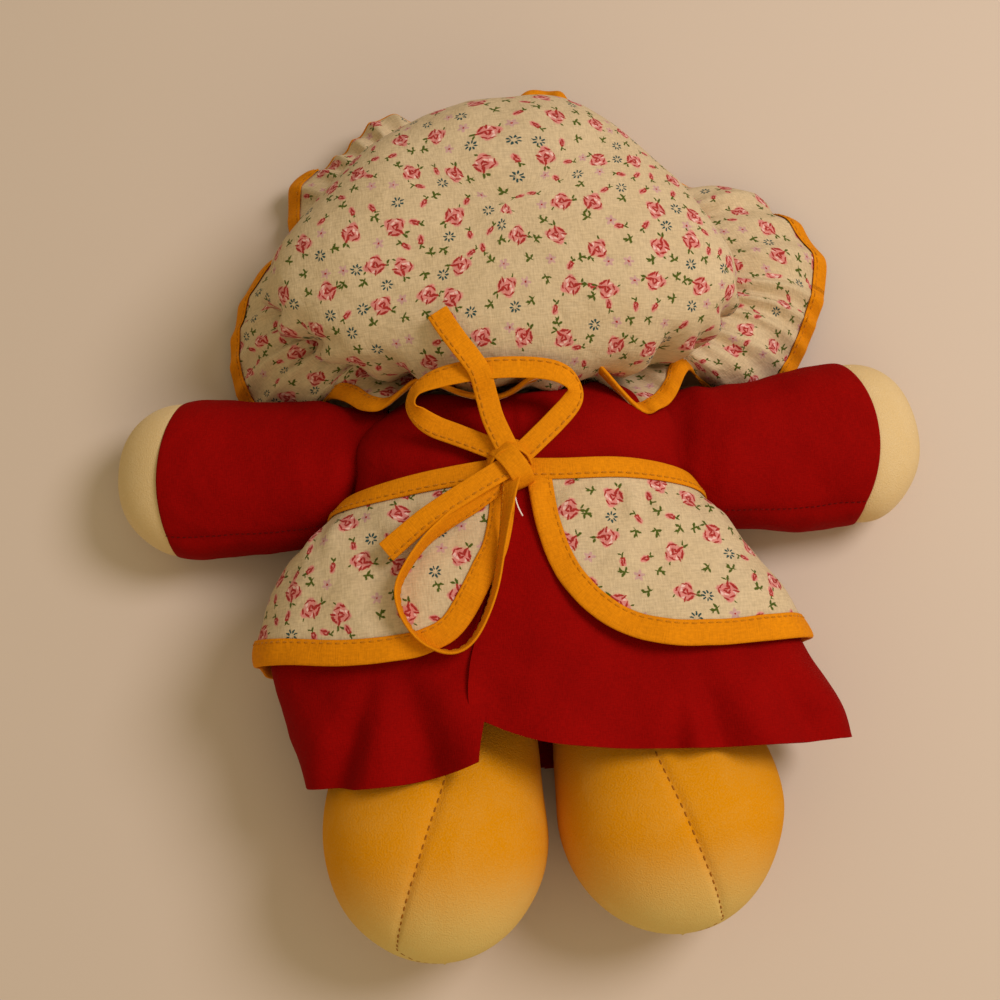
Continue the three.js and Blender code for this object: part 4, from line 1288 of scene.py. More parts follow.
@dataclass
class Arm(StuffedForm):
    """A stuffed arm with a mitten hand, and the sleeve over it.

    Attributes:
        up_body: Height of its middle up the body, at distances out from the body's middle.
            The heights, widths and depths below stand at the same distances.
        inner: Distance where the arm starts, inside the dress.
        wrist: Distance of the sleeve's end.
        lean: How far the sleeve's end leans out at its upper edge, in mm.
        scoop: How far it falls back at both edges, in mm.
        half_cuff: Half width of the sleeve's end, by which both are measured.
        hand_from: Distance where the hand starts to round off.
        hand_end: Distance of the hand's tip.
        seam_angle: Place of the sleeve's seam round the arm, in degrees.
        bend: Distances inwards and outwards from it between which the sleeve would bend; not used.
    """

    rows: int = 44
    cols: int = 56
    side: Side = Side.LEFT
    up_body: Profile = Profile(((50, 17), (80, 17.5), (110, 19.5), (137, 21.5), (162, 22.5)))
    above: Profile = Profile(((50, 32), (70, 29), (95, 24.5), (165, 22)))
    width: Profile = Profile(((50, 22), (62, 24.5), (80, 27.2), (110, 29.6), (137, 30.8), (165, 30.8)))
    depth: Profile = Profile(((50, 17), (62, 20), (80, 23), (110, 24), (165, 23.5)))
    inner: float = 72.0
    middle: float = 110.0
    wrist: float = 141.0
    lean: float = -2.5
    scoop: float = 5.5
    half_cuff: float = 30.0
    hand_from: float = 133.0
    hand_end: float = 160.5
    floor: float = 0.2
    cloth: float = 0.9
    sleeve_from: float = 50.0
    sleeve_grid: Grid = (46, 76)
    sleeve_radius: float = 26.0
    seam_angle: float = 149.0
    shoulder: Place = (62.0, 18.0, 30.0)
    bend: Span = (7.0, 15.0)

    def centres(self, reach: Array) -> Array:
        """The arm's middle at distances out from the body's middle, one row for each."""
        places = (self.side.value * reach, self.up_body(reach), self.above(reach))
        return np.stack(places, 1)[:, None, :]

    def cuff_sway(self, points: Array, centres: Array) -> Array:
        """How far out the sleeve's end goes at the height of each point."""
        rise = (points[..., 1] - centres[..., 1]) / self.half_cuff
        return self.lean * rise - self.scoop * rise ** 2

    def at(self, reach: Array, proud: float, angles: Array) -> Array:
        """Rings round the arm.

        Args:
            reach: Distances out from the body's middle.
            proud: How far the rings stand outside the stuffing.
            angles: Places round each ring.

        Returns:
            The rings' points.
        """
        centres = self.centres(reach)[:, 0]
        slope = np.gradient(centres[:, 1], reach)
        across = unit(np.stack([-self.side.value * slope, np.ones_like(slope), 0 * slope], 1))
        u = np.clip((reach - self.hand_from) / (self.hand_end - self.hand_from), 0, 1)
        end = np.sqrt(np.maximum(1 - u ** 2.1, 0))
        return self.rings(centres, across, self.width(reach) * end + proud, self.depth(reach) * end + proud,
                          self.floor + max(self.cloth - proud, 0), angles)

    def build(self) -> None:
        """Makes the arm and its sleeve."""
        label, sign = self.side.label, self.side.value
        share = np.linspace(0, 1, self.rows)
        reach = self.inner + (self.hand_end - 0.15 - self.inner) * np.sin(share * math.pi / 2) ** 0.9
        points = self.at(reach, 0.0, ring_angles(self.rows, self.cols))
        centres = self.centres(reach)
        out = unit((points - centres) * [0, 1, 1])
        past_cuff = reach[:, None] - self.wrist - self.cuff_sway(points, centres)
        points -= out * (3.0 * (1 - smoothstep(past_cuff, -9, 0.5)))[..., None]
        slim = 1 - 0.8 * (1 - smoothstep(reach, self.inner, self.middle))[:, None, None] * [0, 1, 1]
        points = centres + (points - centres) * slim
        middle = self.centres(np.array([self.middle]))[0, 0]
        points += unit(points - middle) * (ripple(points, 26, 8 + sign) * 0.8)[..., None]
        lift_clear(points, self.floor + 0.1)
        tips = (points[0].mean(0), points[-1].mean(0) + [sign * 0.3, 0, 0])
        arm = thicken(Skin(points, None, True, tips).build(f"{label}_hand", middle), 0)
        settle(arm, SKIN_VELOUR, f"{label}_arm", [f"{label}_arm_skin", f"{label}_arm_fill"])
        self.sleeve()

    def sleeve(self) -> None:
        """Makes the sleeve and its seam's stitches."""
        label, sign = self.side.label, self.side.value
        rows, cols = self.sleeve_grid
        reach = np.linspace(self.sleeve_from, self.wrist, rows)
        angles = ring_angles(rows, cols)
        points = self.at(reach, self.cloth + 0.3, angles)
        centres = self.centres(reach)
        leaning = smoothstep(reach, 80, self.wrist)[:, None]
        points[..., 0] += sign * leaning * self.cuff_sway(points, centres)
        out = unit((points - centres) * [0.2, 1, 1])
        near = np.exp(-((reach - 70) / 13) ** 2)[:, None]
        folds = np.sin(reach[:, None] / 5.5 + 2 * np.sin(2 * angles + sign) + 1.3 * ripple(points, 22, 4.0))
        low = 0.5 + 0.5 * smoothstep(-np.cos(angles), -0.3, 0.7)
        armhole = -4.2 * np.exp(-((reach - 62) / 5.0) ** 2)[:, None] * smoothstep(-np.cos(angles), -0.9, -0.1)
        puff = ripple(points, 24, 11 + sign) * 1.7 + 0.5 * ripple(points, 9, 5.0)
        puff *= (1 - 0.7 * smoothstep(reach, self.wrist - 16, self.wrist))[:, None]
        seam_at = math.radians(self.seam_angle)
        seam_dip = -0.7 * np.exp(-((angles - seam_at) / 0.055) ** 2)
        quiet = smoothstep(points[..., 2], 1.5, 9)
        points = points + out * ((folds * near * low * 1.9 + armhole + puff + seam_dip) * quiet)[..., None]
        round_it = np.linspace(0, TURN * self.sleeve_radius, cols + 1)
        uv = np.stack(np.meshgrid(round_it, reach), -1)
        name = f"{label}_arm_sleeve"
        made = thicken(Skin(points, uv, True).build(name, centres[rows // 2, 0]), self.cloth)
        sewn = (slice(14, None), round(seam_at / TURN * cols))
        seam = SLEEVE_SEAM.build(f"{name}_stitches", points[sewn] + out[sewn] * 0.1, out[sewn])
        for piece in (made, seam):
            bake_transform(piece)
        settle(seam, RED_THREAD)
        settle(made, RED_COTTON, None, [f"{label}_sleeve"])


@dataclass
class Torso(StuffedForm):
    """The stuffed body under the dress.

    Attributes:
        seat: Height of its lower end.
        neck: Height of its upper end, the tab that the head turns on.
        floor: Its lowest height, above the cloth that it lies on.
    """

    rows: int = 34
    cols: int = 64
    seat: float = -52.0
    neck: float = 45.0
    middle_z: float = 38.2
    floor: float = 6.6
    girth: float = 300.0
    width: Profile = Profile(((-52, 55), (-30, 58), (0, 55), (20, 54), (32, 38), (45, 21)))
    depth: Profile = Profile((
        (-52, 4.5), (-46, 11), (-30, 25), (-8, 31), (15, 28), (30, 16), (38, 7), (45, 4)))

    def build(self) -> None:
        """Makes the body."""
        y = np.linspace(self.seat, self.neck, self.rows)
        centres = np.stack([0 * y, y, 0 * y + self.middle_z], 1)
        angles = ring_angles(self.rows, self.cols)
        points = self.rings(centres, ACROSS, self.width(y), self.depth(y), self.floor, angles)
        points += unit(points - centres[:, None, :]) * (ripple(points, 20, 1.0) * 0.6)[..., None]
        uv = np.stack(np.meshgrid(np.linspace(0, self.girth, self.cols + 1), y), -1)
        tips = (centres[0] - [0, 1, 0], centres[-1] + [0, 1, 0])
        made = thicken(Skin(points, uv, True, tips).build("body_bag", (0, 0, self.middle_z)), 0)
        settle(made, CALICO, "torso", ["torso_skin", "torso_fill"])


@dataclass
class Head(StuffedForm):
    """The stuffed head, with a plain embroidered face on its hidden side.

    Attributes:
        half: Half width, half height and half depth.
        taper: How much narrower it gets towards the forehead, and how much rounder at the chin.
        chin_drop: How far the chin lies below its middle, towards the table.
        brow: How far the forehead goes on up the body, and down towards the table.
        level: Height of the face's stitches above the table.
        eye: Sideways place and height of an eye's middle.
        eye_half: Half width and half height of an eye.
        mouth: Half width of the smile, height of its middle and rise of its ends.
        nose: Half width and height of the nose.
    """

    rows: int = 44
    cols: int = 72
    middle: Place = (0.0, 96.0, 43.0)
    half: Place = (75.0, 53.6, 44.4)
    taper: Span = (0.444, 0.33)
    chin_drop: float = 4.0
    brow: Span = (2.0, 13.0)
    floor: float = 0.9
    level: float = 0.7
    eye: Span = (24.0, 104.0)
    eye_half: Span = (2.6, 4.2)
    eye_strands: int = 9
    mouth: Place = (13.0, 82.0, 4.0)
    nose: Span = (1.8, 94.0)

    def build(self) -> None:
        """Makes the head and its face."""
        t = 0.5 - 0.5 * np.cos(np.linspace(0.06, 0.985, self.rows) * math.pi)
        up = 2 * t - 1
        share = (1 - np.abs(up) ** 2.1) ** (1 / 2.1)
        brow = smoothstep(t, 0.55, 1)
        y = self.middle[1] + self.half[1] * up + self.brow[0] * brow
        z = self.middle[2] - self.chin_drop * (1 - smoothstep(t, 0, 0.4)) - self.brow[1] * brow
        square = np.where(up < 0, 2.1, 2.7)
        plan = (1 - np.abs(up) ** square) ** (1 / square)
        width = plan * self.half[0] * (1 - self.taper[0] * up - self.taper[1] * np.minimum(up, 0) ** 2)
        angles = ring_angles(self.rows, self.cols)
        centres = np.stack([0 * y, y, z], 1)
        points = self.rings(centres, ACROSS, width, share * self.half[2], self.floor, angles)
        points = askew(points, smoothstep(t, 0, 0.04)[:, None])
        points += unit(points - np.array(self.middle)) * (ripple(points, 40, 6.0) * 0.7)[..., None]
        lift_clear(points, self.floor)
        tips = (points[0].mean(0) - [0, 0.6, 0], points[-1].mean(0) + [0, 0.6, 0])
        made = thicken(Skin(points, None, True, tips).build("head_ball", self.middle), 0)
        settle(made, SKIN_VELOUR, "head", ["head_skin", "head_fill"])
        self.face()

    def embroider(self, name: str, line: Array, row: StitchRow, finish: Finish) -> None:
        """Sews one line of the face, on the side that lies on the table.

        Args:
            name: The piece's name.
            line: Points across and up the face, in mm.
            row: The stitches.
            finish: Their thread.
        """
        places = askew(np.column_stack([line, np.full(len(line), self.level)]))
        settle(row.build(name, places, np.tile(-UP, (len(line), 1))), finish, "head")

    def face(self) -> None:
        """Embroiders two eyes, a small nose and a mouth where the head lies on the table."""
        for side in Side:
            for number, share in enumerate(np.linspace(-1, 1, self.eye_strands)):
                half = self.eye_half[1] * math.sqrt(max(1 - share * share, 0.02))
                x = side.value * self.eye[0] + self.eye_half[0] * share
                strand = np.array([(x, self.eye[1] + half * end) for end in (-1, 1)])
                self.embroider(f"{side.label}_eye_strand_{number}", strand,
                               StitchRow(2 * half, 2 * half, 0.55), BROWN_STRANDS)
        bow = np.linspace(-1, 1, 30)
        smile = np.stack([self.mouth[0] * bow, self.mouth[1] + self.mouth[2] * bow ** 2], 1)
        self.embroider("mouth_stitches", smile, StitchRow(2.4, 2.5, 0.5), ROSE_STRANDS)
        tip = np.stack([self.nose[0] * bow, 0 * bow + self.nose[1]], 1)
        wide = 2 * self.nose[0]
        self.embroider("nose_stitches", tip, StitchRow(wide, wide, 0.6), ROSE_STRANDS)


# Dress


@dataclass
class Dress:
    """The red dress: a bodice, and a skirt that laps over at the back.

    Attributes:
        neckline: Height of the neck at the sides, and its drop at the front and the back.
        hem_level: Height at which the columns stand evenly.
        fall: Heights between which the skirt goes over from the torso to a leg.
        left_edge: Place of the left back's free edge round the body, at each height.
        right_edge: The same for the right back, which lies on top.
        left_hem: Height of the left half's hem at each place round the body.
        right_hem: The same for the right half.
        folds: The skirt's deeper folds on each side: place round the hem, lean per mm of
            height, half width, depth and the height where it runs out.
        fold_root: Height at which a fold's place and width are given.
        fold_full: Height below which it has its whole depth.
        lap_columns: How many columns of the right half lie over the left one.
    """

    waist: float = -3.0
    cloth: float = 0.9
    rows: int = 44
    cols: int = 96
    bodice_grid: Grid = (26, 90)
    neckline: Span = (41.5, 9.0)
    hem_level: float = -104.0
    length: float = 108.0
    floor: float = 2.2
    fall: Span = (-48.0, -86.0)
    left_edge: Profile = Profile(((-112, 26), (-100, 24), (-70, 15), (-40, 5), (0, -5)))
    right_edge: Profile = Profile(((-95, -25), (-86, -27), (-74, -26), (-46, -16), (-16, -6), (0, -3)))
    left_hem: Profile = Profile((
        (20, -104), (30, -107.5), (50, -111), (75, -110.5), (100, -107), (130, -104), (260, -104)))
    right_hem: Profile = Profile((
        (-28, -83), (-25, -89), (-20, -93), (-10, -98), (18, -104.5), (46, -107), (80, -108), (110, -107),
        (140, -104), (280, -104)))
    folds: dict[Side, tuple[tuple[float, float, float, float, float], ...]] = field(default_factory=lambda: {
        Side.LEFT: ((43, 0.25, 9, 5.2, -60), (78, -0.5, 7, 3.6, -60)),
        Side.RIGHT: ((46, 0.1, 4, 3.0, -80), (62, -0.25, 6, 3.0, -70), (96, -0.5, 8, 3.6, -64)),
    })
    fold_root: float = -105.0
    fold_full: float = -103.0
    lap_columns: int = 11

    def folded(self, side: Side, q: Array, y: Array) -> Array:
        """How far the skirt's deeper folds move the cloth in or out.

        Args:
            side: Which half.
            q: Distance round the body from the middle of the back.
            y: Height up the body, in the same grid.

        Returns:
            The moves in mm.
        """
        made = np.zeros(np.shape(q))
        for place, lean, wide, depth, top in self.folds[side]:
            narrower = 1 - 0.45 * smoothstep(y, self.fold_root, top)
            off = (q - place - lean * (y - self.fold_root)) / (wide * narrower)
            dip = 0.6 * np.exp(-((np.abs(off) - 2.0) / 1.3) ** 2) - np.exp(-off ** 2)
            made += depth * dip * smoothstep(-y, -top, -self.fold_full)
        return made

    def bodice(self) -> None:
        """Makes the bodice."""
        rows, cols = self.bodice_grid
        v = np.linspace(0, 1, rows)[:, None]
        s = np.linspace(0, 1, cols)[None, :]
        neck = self.neckline[0] - self.neckline[1] * np.cos(math.pi * s) ** 2
        y = neck + (self.waist - 3 - neck) * v
        halves = []
        for side in Side:
            q = s * FORM.reach(side, y)
            lift = 0.9 + 0.8 * ripple(FORM.spot(side, q, y), 16, 2.0 + side.value)
            gather = np.sin(q / 3.3 + 1.2 * np.sin(q / 9)) * np.exp(-((y - self.waist) / 9) ** 2)
            lap = 0.9 * smoothstep(-q, -6, 6) if side is Side.RIGHT else 0.0
            points = FORM.lay(side, q, y, lift + 0.5 * gather + lap)
            halves.append((points, np.stack([side.value * q, y], -1)))
        left, right = halves
        points = np.concatenate([left[0][:, :0:-1], right[0][:, :-1]], 1)
        uv = np.concatenate([left[1][:, :0:-1], right[1]], 1)
        made = thicken(Skin(points, uv, True).build("bodice", TORSO_MIDDLE), self.cloth)
        settle(made, RED_COTTON, "torso", ["dress_bodice"])

    def half(self, side: Side) -> None:
        """Makes one half of the skirt, from its free back edge to the middle of the front.

        Args:
            side: Which half.
        """
        left = side is Side.LEFT
        edge = self.left_edge if left else self.right_edge
        hem = self.left_hem if left else self.right_hem
        s = (np.linspace(0, 1, self.cols) ** 1.15)[None, :]
        v = np.linspace(0, 1, self.rows)[:, None]
        low = np.full(1, self.hem_level)
        at_hem = edge(low) + (FORM.reach(side, low) - edge(low)) * s
        y = self.waist + (hem(at_hem) - self.waist) * v
        q = edge(y) + (FORM.reach(side, y) - edge(y)) * s
        base = FORM.spot(side, q, y)
        drop = np.clip(-y / self.length, 0, 1)
        loose = smoothstep(base[..., 2], 6, 30)
        broad = np.sin(q / 13.5 + 0.8 * side.value + 0.6 * np.sin(q / 31)) * 2.6 * drop ** 2
        small = ripple(base, 30, 14 + side.value) * 2.6 * drop + ripple(base, 12, 17.0) * 0.8
        small *= 0.4 + 0.6 * smoothstep(-y, 58, 76)
        gather = np.sin(q / 2.9 + 1.5 * np.sin(q / 7.7)) * 0.7 * np.exp(-((y - self.waist) / 14) ** 2)
        lift = 0.4 + (broad + small + self.folded(side, q, y)) * loose + gather
        if not left:
            lift += 1.9 * smoothstep(-q, -30, 4) + 1.5 * np.exp(-((q - edge(y)) / 5) ** 2) * drop
        points = FORM.lay(side, q, y, lift)
        lift_clear(points, self.floor)
        uv = np.stack([q, y], -1)
        if not left:
            self.lap(points[:, :self.lap_columns + 1], uv[:, :self.lap_columns + 1])
            points, uv = points[:, self.lap_columns:], uv[:, self.lap_columns:]
        made = thicken(Skin(points, uv).build(f"skirt_{side.label}", TORSO_MIDDLE), self.cloth, crisp=True)
        hip_weights(made, side, self.fall, INNER_THIGH[side])
        settle(made, RED_COTTON, None, ["dress_skirt"])

    def lap(self, points: Array, uv: Array) -> None:
        """Makes the strip of the right half that lies over the left one.

        Args:
            points: The strip's own columns of the right half's grid.
            uv: The same on the flat cloth.
        """
        made = thicken(Skin(points, uv).build("skirt_right_lap", TORSO_MIDDLE), self.cloth, crisp=True)
        hip_weights(made, Side.LEFT, self.fall, INNER_THIGH[Side.LEFT])
        settle(made, RED_COTTON, None, ["dress_skirt"])

    def build(self) -> None:
        """Makes the bodice and both halves of the skirt."""
        self.bodice()
        for side in Side:
            self.half(side)


@dataclass
class Apron:
    """The printed apron, in two halves that part at the back, with its bound edge.

    Attributes:
        ties: The tie and the bow that hold it; not used.
        top: How far its upper edge reaches above the tie's middle.
        lift: How far it lies above the form.
        hem_level: Height at which the columns are spread.
        fall: Heights between which it goes over from the torso to a leg.
        left_edge: Height of the left half's edge at each place round the body.
        right_edge: The same for the right half.
    """

    ties: Sequence[Piece] = ()
    top: float = 1.2
    lift: float = 3.3
    cloth: float = 0.7
    rows: int = 40
    cols: int = 110
    edge_points: int = 170
    hem_level: float = -66.0
    floor: float = 1.2
    fall: Span = (-46.0, -90.0)
    left_edge: Profile = Profile((
        (4, -3), (6.5, -18), (9.5, -30), (14, -39), (20, -50), (27, -59.5), (39, -66), (52, -67.5),
        (69, -67), (95, -62.5), (120, -59), (150, -60), (260, -64)))
    right_edge: Profile = Profile((
        (1.5, -4), (2.6, -17), (4.5, -28), (8.5, -41), (14, -51), (22, -60), (32, -66.5), (42, -70),
        (60, -71.5), (80, -71), (110, -69), (140, -67), (280, -67)))

    def edge(self, side: Side) -> Profile:
        """Height of one half's edge at each place round the body."""
        return self.left_edge if side is Side.LEFT else self.right_edge

    def columns(self, side: Side) -> tuple[Array, Array]:
        """Where the columns of one half stand at the hem.

        Args:
            side: Which half.

        Returns:
            Each column's share of the way round, and the height of the edge there.
        """
        s = np.linspace(0, 1, self.cols) ** 2.0
        return s, self.edge(side)(self.spread(side, s, np.full(1, self.hem_level)))

    def spread(self, side: Side, s: Array, y: Array) -> Array:
        """Distance round the body of a column at a height."""
        start = self.edge(side).pairs[0][0]
        return start + (FORM.reach(side, y) - start) * s

    def rise(self, side: Side, q: Array, y: Array) -> Array:
        """How far the cloth stands above the form, with its gathers and soft folds.

        Args:
            side: Which half.
            q: Distance round the body from the middle of the back.
            y: Height up the body, in the same grid.

        Returns:
            The heights in mm.
        """
        base = FORM.spot(side, q, y)
        loose = smoothstep(base[..., 2], 4, 24)
        free = smoothstep(TIE_HEIGHT[side](q) - y, 4, 13)
        gather = np.sin(q / 2.6 + 1.4 * np.sin(q / 6.3)) * 1.3 * np.exp(-((y + 12) / 11) ** 2) * free
        soft = np.maximum(ripple(base, 26, 21 + side.value) * 3.0 + ripple(base, 11, 25.0), -0.8) * free
        flare = 2.2 * smoothstep(-y, 25, -self.hem_level)
        front = smoothstep(base[..., 2], 2, 12)
        return self.lift * (0.3 + 0.7 * front) + (soft + flare + gather) * loose

    def half(self, side: Side) -> None:
        """Makes one half and its binding.

        Args:
            side: Which half.
        """
        s, edge = self.columns(side)
        v = np.linspace(0, 1, self.rows)[:, None]
        top = TIE_HEIGHT[side](self.spread(side, s, 0 * s)) + self.top
        y = np.minimum(top + (edge[None, :] - top) * v, top)
        q = self.spread(side, np.broadcast_to(s, y.shape), y)
        points = FORM.lay(side, q, y, self.rise(side, q, y))
        lift_clear(points, self.floor)
        at_hem = FORM.reach(side, np.full(1, self.hem_level))
        straight = smoothstep(s, 0.4, 0.8) * (at_hem - FORM.reach(side, y))
        uv = np.stack([(q + straight) * side.value + 300, y], -1)
        made = thicken(Skin(points, uv).build(f"apron_{side.label}", TORSO_MIDDLE), self.cloth)
        surface = self.edge_surface(side)
        bound = TAPE.binding(f"apron_{side.label}_binding", surface)
        seam = TAPE.binding_stitches(f"apron_{side.label}_binding_stitches", surface)
        for piece in (made, bound, seam):
            hip_weights(piece, side, self.fall, INNER_THIGH[side])
        settle(bound, BIAS_TAPE, None, ["apron_binding"])
        settle(seam, YELLOW_THREAD)
        settle(made, PRINTED_COTTON, None, ["apron_panel"])

    def edge_surface(self, side: Side) -> Surface:
        """The cloth along its edge.

        Args:
            side: Which half.

        Returns:
            A function from a distance in from the edge to places and outward directions.
        """
        s, edge = self.columns(side)
        line = np.stack([self.spread(side, s, edge), edge], 1)
        run = run_along(line)
        line = read_along(line, run, np.linspace(0, run[-1], self.edge_points))
        along = unit(np.gradient(line, axis=0))
        inward = np.stack([-along[:, 1], along[:, 0]], 1)

        def surface(inset: float) -> tuple[Array, Array]:
            """Places on the cloth near its edge.

            Args:
                inset: Distance in from the edge.

            Returns:
                The places, and the direction out of the cloth at each.
            """
            q, y = (line + inward * inset).T
            y = np.minimum(y, TIE_HEIGHT[side](q) + self.top)
            normals = FORM.normal(side, q, y)
            points = FORM.spot(side, q, y) + normals * self.rise(side, q, y)[:, None]
            lift_clear(points, self.floor)
            return points, normals
        return surface

    def build(self) -> None:
        """Makes both halves."""
        for side in Side:
            self.half(side)


@dataclass
class Bow:
    """The apron's tie round the waist and the bow at the back.

    Attributes:
        tie_start: Place round the body where the tie leaves the knot on each side.
        LINES: Lines of the tails and loops: right, up, out and turn of the tape in degrees.
        WRAPS: Lines of the two turns of tape over the knot: right, up and out.
        THREAD: Line of the loose thread: right, up and out.
        NODES: The solid that each tail or loop stands for.
    """

    knot: Place = (-4.0, 0.5, 82.5)
    knot_half: Place = (6.6, 7.0, 4.4)
    knot_grid: Grid = (26, 36)
    tie_start: Span = (9.0, 1.0)
    tie_points: int = 90
    tape_points: int = 90

    LINES = {
        "bow_tail_top": (
            (-5, 4, 85.5, 0), (-9.6, 17, 84.5, 4), (-11.4, 25.4, 86, 0), (-13.3, 33.5, 91.5, 0),
            (-16.5, 39.3, 93.5, 0), (-19.7, 44, 94.5, 0), (-23.9, 51, 95, 5), (-27.1, 57, 95.5, 8)),
        "bow_loop_top": (
            (-7, 5, 83, 0), (-17, 11, 79.5, 0), (-24.2, 15, 78, 4), (-31.3, 18.6, 77.5, 14),
            (-36.5, 22.6, 78.5, 40), (-39.4, 27.2, 81.5, 65), (-36.7, 31.5, 85.5, 45), (-27.9, 34, 88.5, 12),
            (-15, 35.3, 90, 0), (-1.8, 35.3, 90, 0), (10.6, 33.9, 89, 0), (17.7, 31.3, 87.5, 15),
            (21.1, 27, 85.5, 45), (19.6, 22, 84, 30), (12.7, 15.2, 83.5, 10), (4.7, 8.2, 84, 0),
            (-1.2, 3.3, 84, 0)),
        "bow_tail_low": (
            (-2.5, 1, 83.5, 0), (-9, -2.6, 86, -4), (-20.5, -8.8, 87.2, -8), (-35.6, -17.3, 87.6, -10),
            (-45, -23.7, 86.6, -5), (-52.5, -29, 85, 0)),
        "bow_loop_low": (
            (-3.5, -1.5, 82.5, 10), (-9.5, -5.6, 83, 22), (-18.6, -12.4, 84, 38), (-29, -19.4, 85.5, 62),
            (-38, -26.6, 87, 76), (-45.6, -36, 87.5, 80), (-49.3, -43.9, 87.5, 82), (-48.2, -53, 87.5, 82),
            (-42.5, -62.2, 87.5, 80), (-34, -67.3, 88, 78), (-26.9, -66.4, 88.5, 76), (-20.7, -59.8, 89, 76),
            (-14.6, -46.6, 89, 74), (-10.2, -28.7, 88.5, 70), (-6.6, -11.8, 87, 50), (-5, -4, 84.5, 25)),
    }
    WRAPS = {
        "knot_wrap_upper": (
            (-13, 0, 80), (-12, 3.4, 82.6), (-8.6, 6.4, 84.6), (-3.4, 7.4, 85.2), (0.8, 5.4, 84),
            (2.6, 2, 80.5)),
        "knot_wrap": (
            (-10, 8, 79.5), (-9, 6.8, 84), (-6.6, 3.8, 87.6), (-3.8, -0.4, 88.8), (-1.4, -4.6, 87.2),
            (-0.4, -7.2, 83.2), (-0.8, -7.4, 79.5)),
    }
    THREAD = ((-4.6, -7, 83.5), (-4.4, -12, 84.5), (-3.6, -16, 84), (-2.2, -19.4, 83.4))
    NODES = {"bow_tail_top": "bow_tail_upper", "bow_loop_top": "bow_loop_upper",
             "bow_tail_low": "bow_tail_lower", "bow_loop_low": "bow_loop_lower"}

    def tie(self) -> list[Piece]:
        """Makes the tie round the waist.

        Returns:
            The tie and its stitches.
        """
        parts = []
        for (side, height), start in zip(TIE_HEIGHT.items(), self.tie_start):
            front = float(FORM.reach(side, np.full(1, -4.0))[0])
            q = np.linspace(start, front, self.tie_points)
            y = height(q)
            base, normals = FORM.spot(side, q, y), FORM.normal(side, q, y)
            lift = evened(np.where(base[:, 2] > 8, 4.1, 2.6), "edge")
            line = base + normals * lift[:, None]
            lift_clear(line, 0.9)
            parts.append((line, normals))
        (left, left_out), (right, right_out) = parts
        line = np.concatenate([left, right[-2::-1]])
        normals = np.concatenate([left_out, right_out[-2::-1]])
        tape = TAPE.ribbon("waist_tape", line, normals)
        seam = TAPE.stitches("waist_tape_stitches", line, normals)
        settle(tape, BIAS_TAPE, "torso", ["waist_tie"])
        settle(seam, YELLOW_THREAD, "torso")
        return [tape, seam]

    def free_tape(self, name: str) -> list[Piece]:
        """Makes one loop or tail of the bow.

        Args:
            name: Its name among the lines.

        Returns:
            The tape and its stitches.
        """
        places = spline(self.LINES[name], self.tape_points)
        line, turn = places[:, :3], np.radians(places[:, 3:])
        along = unit(np.gradient(line, axis=0))
        flat = unit(np.cross(np.cross(along, UP), along))
        normals = flat * np.cos(turn) + np.cross(flat, along) * np.sin(turn)
        tape = TAPE.ribbon(name, line, normals)
        seam = TAPE.stitches(f"{name}_stitches", line, normals)
        body = "torso"
        if name == "bow_tail_top":
            body = None
            bend_at_nape(tape)
            bend_at_nape(seam)
        settle(tape, BIAS_TAPE, body, [self.NODES[name]])
        settle(seam, YELLOW_THREAD, body)
        return [tape, seam]

    def tied_knot(self) -> list[Piece]:
        """Makes the knot: a lump of tape pulled tight, with its folds, its wraps and a loose thread.

        Returns:
            The knot, the thread and the wraps.
        """
        rows, cols = self.knot_grid
        a = ring_angles(rows, cols)
        u = np.linspace(0.04, 0.96, rows)[:, None] * math.pi + 0 * a
        shape = np.stack([np.sin(u) * np.cos(a), np.cos(u), np.sin(u) * np.sin(a)], -1)
        x, y, z = np.moveaxis(shape, -1, 0)
        folds = 0.10 * np.sin(5 * x + 4 * z) + 0.07 * np.sin(7 * y - 3 * a)
        crease = -0.16 * np.exp(-((x * 0.8 + y * 0.6) / 0.12) ** 2)
        points = np.array(self.knot) + shape * np.array(self.knot_half) * (1 + folds + crease)[..., None]
        tips = (points[0].mean(0), points[-1].mean(0))
        uv = np.stack(np.meshgrid(np.linspace(0, 45, cols + 1), np.linspace(0, 24, rows)), -1)
        lump = thicken(Skin(points, uv, True, tips).build("knot", self.knot), 0)
        settle(lump, BIAS_TAPE, "torso", ["bow_knot"])
        end = spline(self.THREAD, 24)
        thread = THREAD_END.ribbon("loose_thread", end, np.tile(UP, (len(end), 1)))
        settle(thread, WHITE_THREAD, "torso")
        pieces = [lump, thread]
        for name, places in self.WRAPS.items():
            line = spline(places, 40)
            turn = TAPE.ribbon(name, line, unit(line - np.array(self.knot) + 3 * UP))
            pieces.append(settle(turn, BIAS_TAPE, "torso", ["bow_knot"]))
        return pieces

    def build(self) -> list[Piece]:
        """Makes the tie, the loops, the tails and the knot.

        Returns:
            All its pieces.
        """
        pieces = self.tie()
        for name in self.LINES:
            pieces += self.free_tape(name)
        return pieces + self.tied_knot()


# Cap


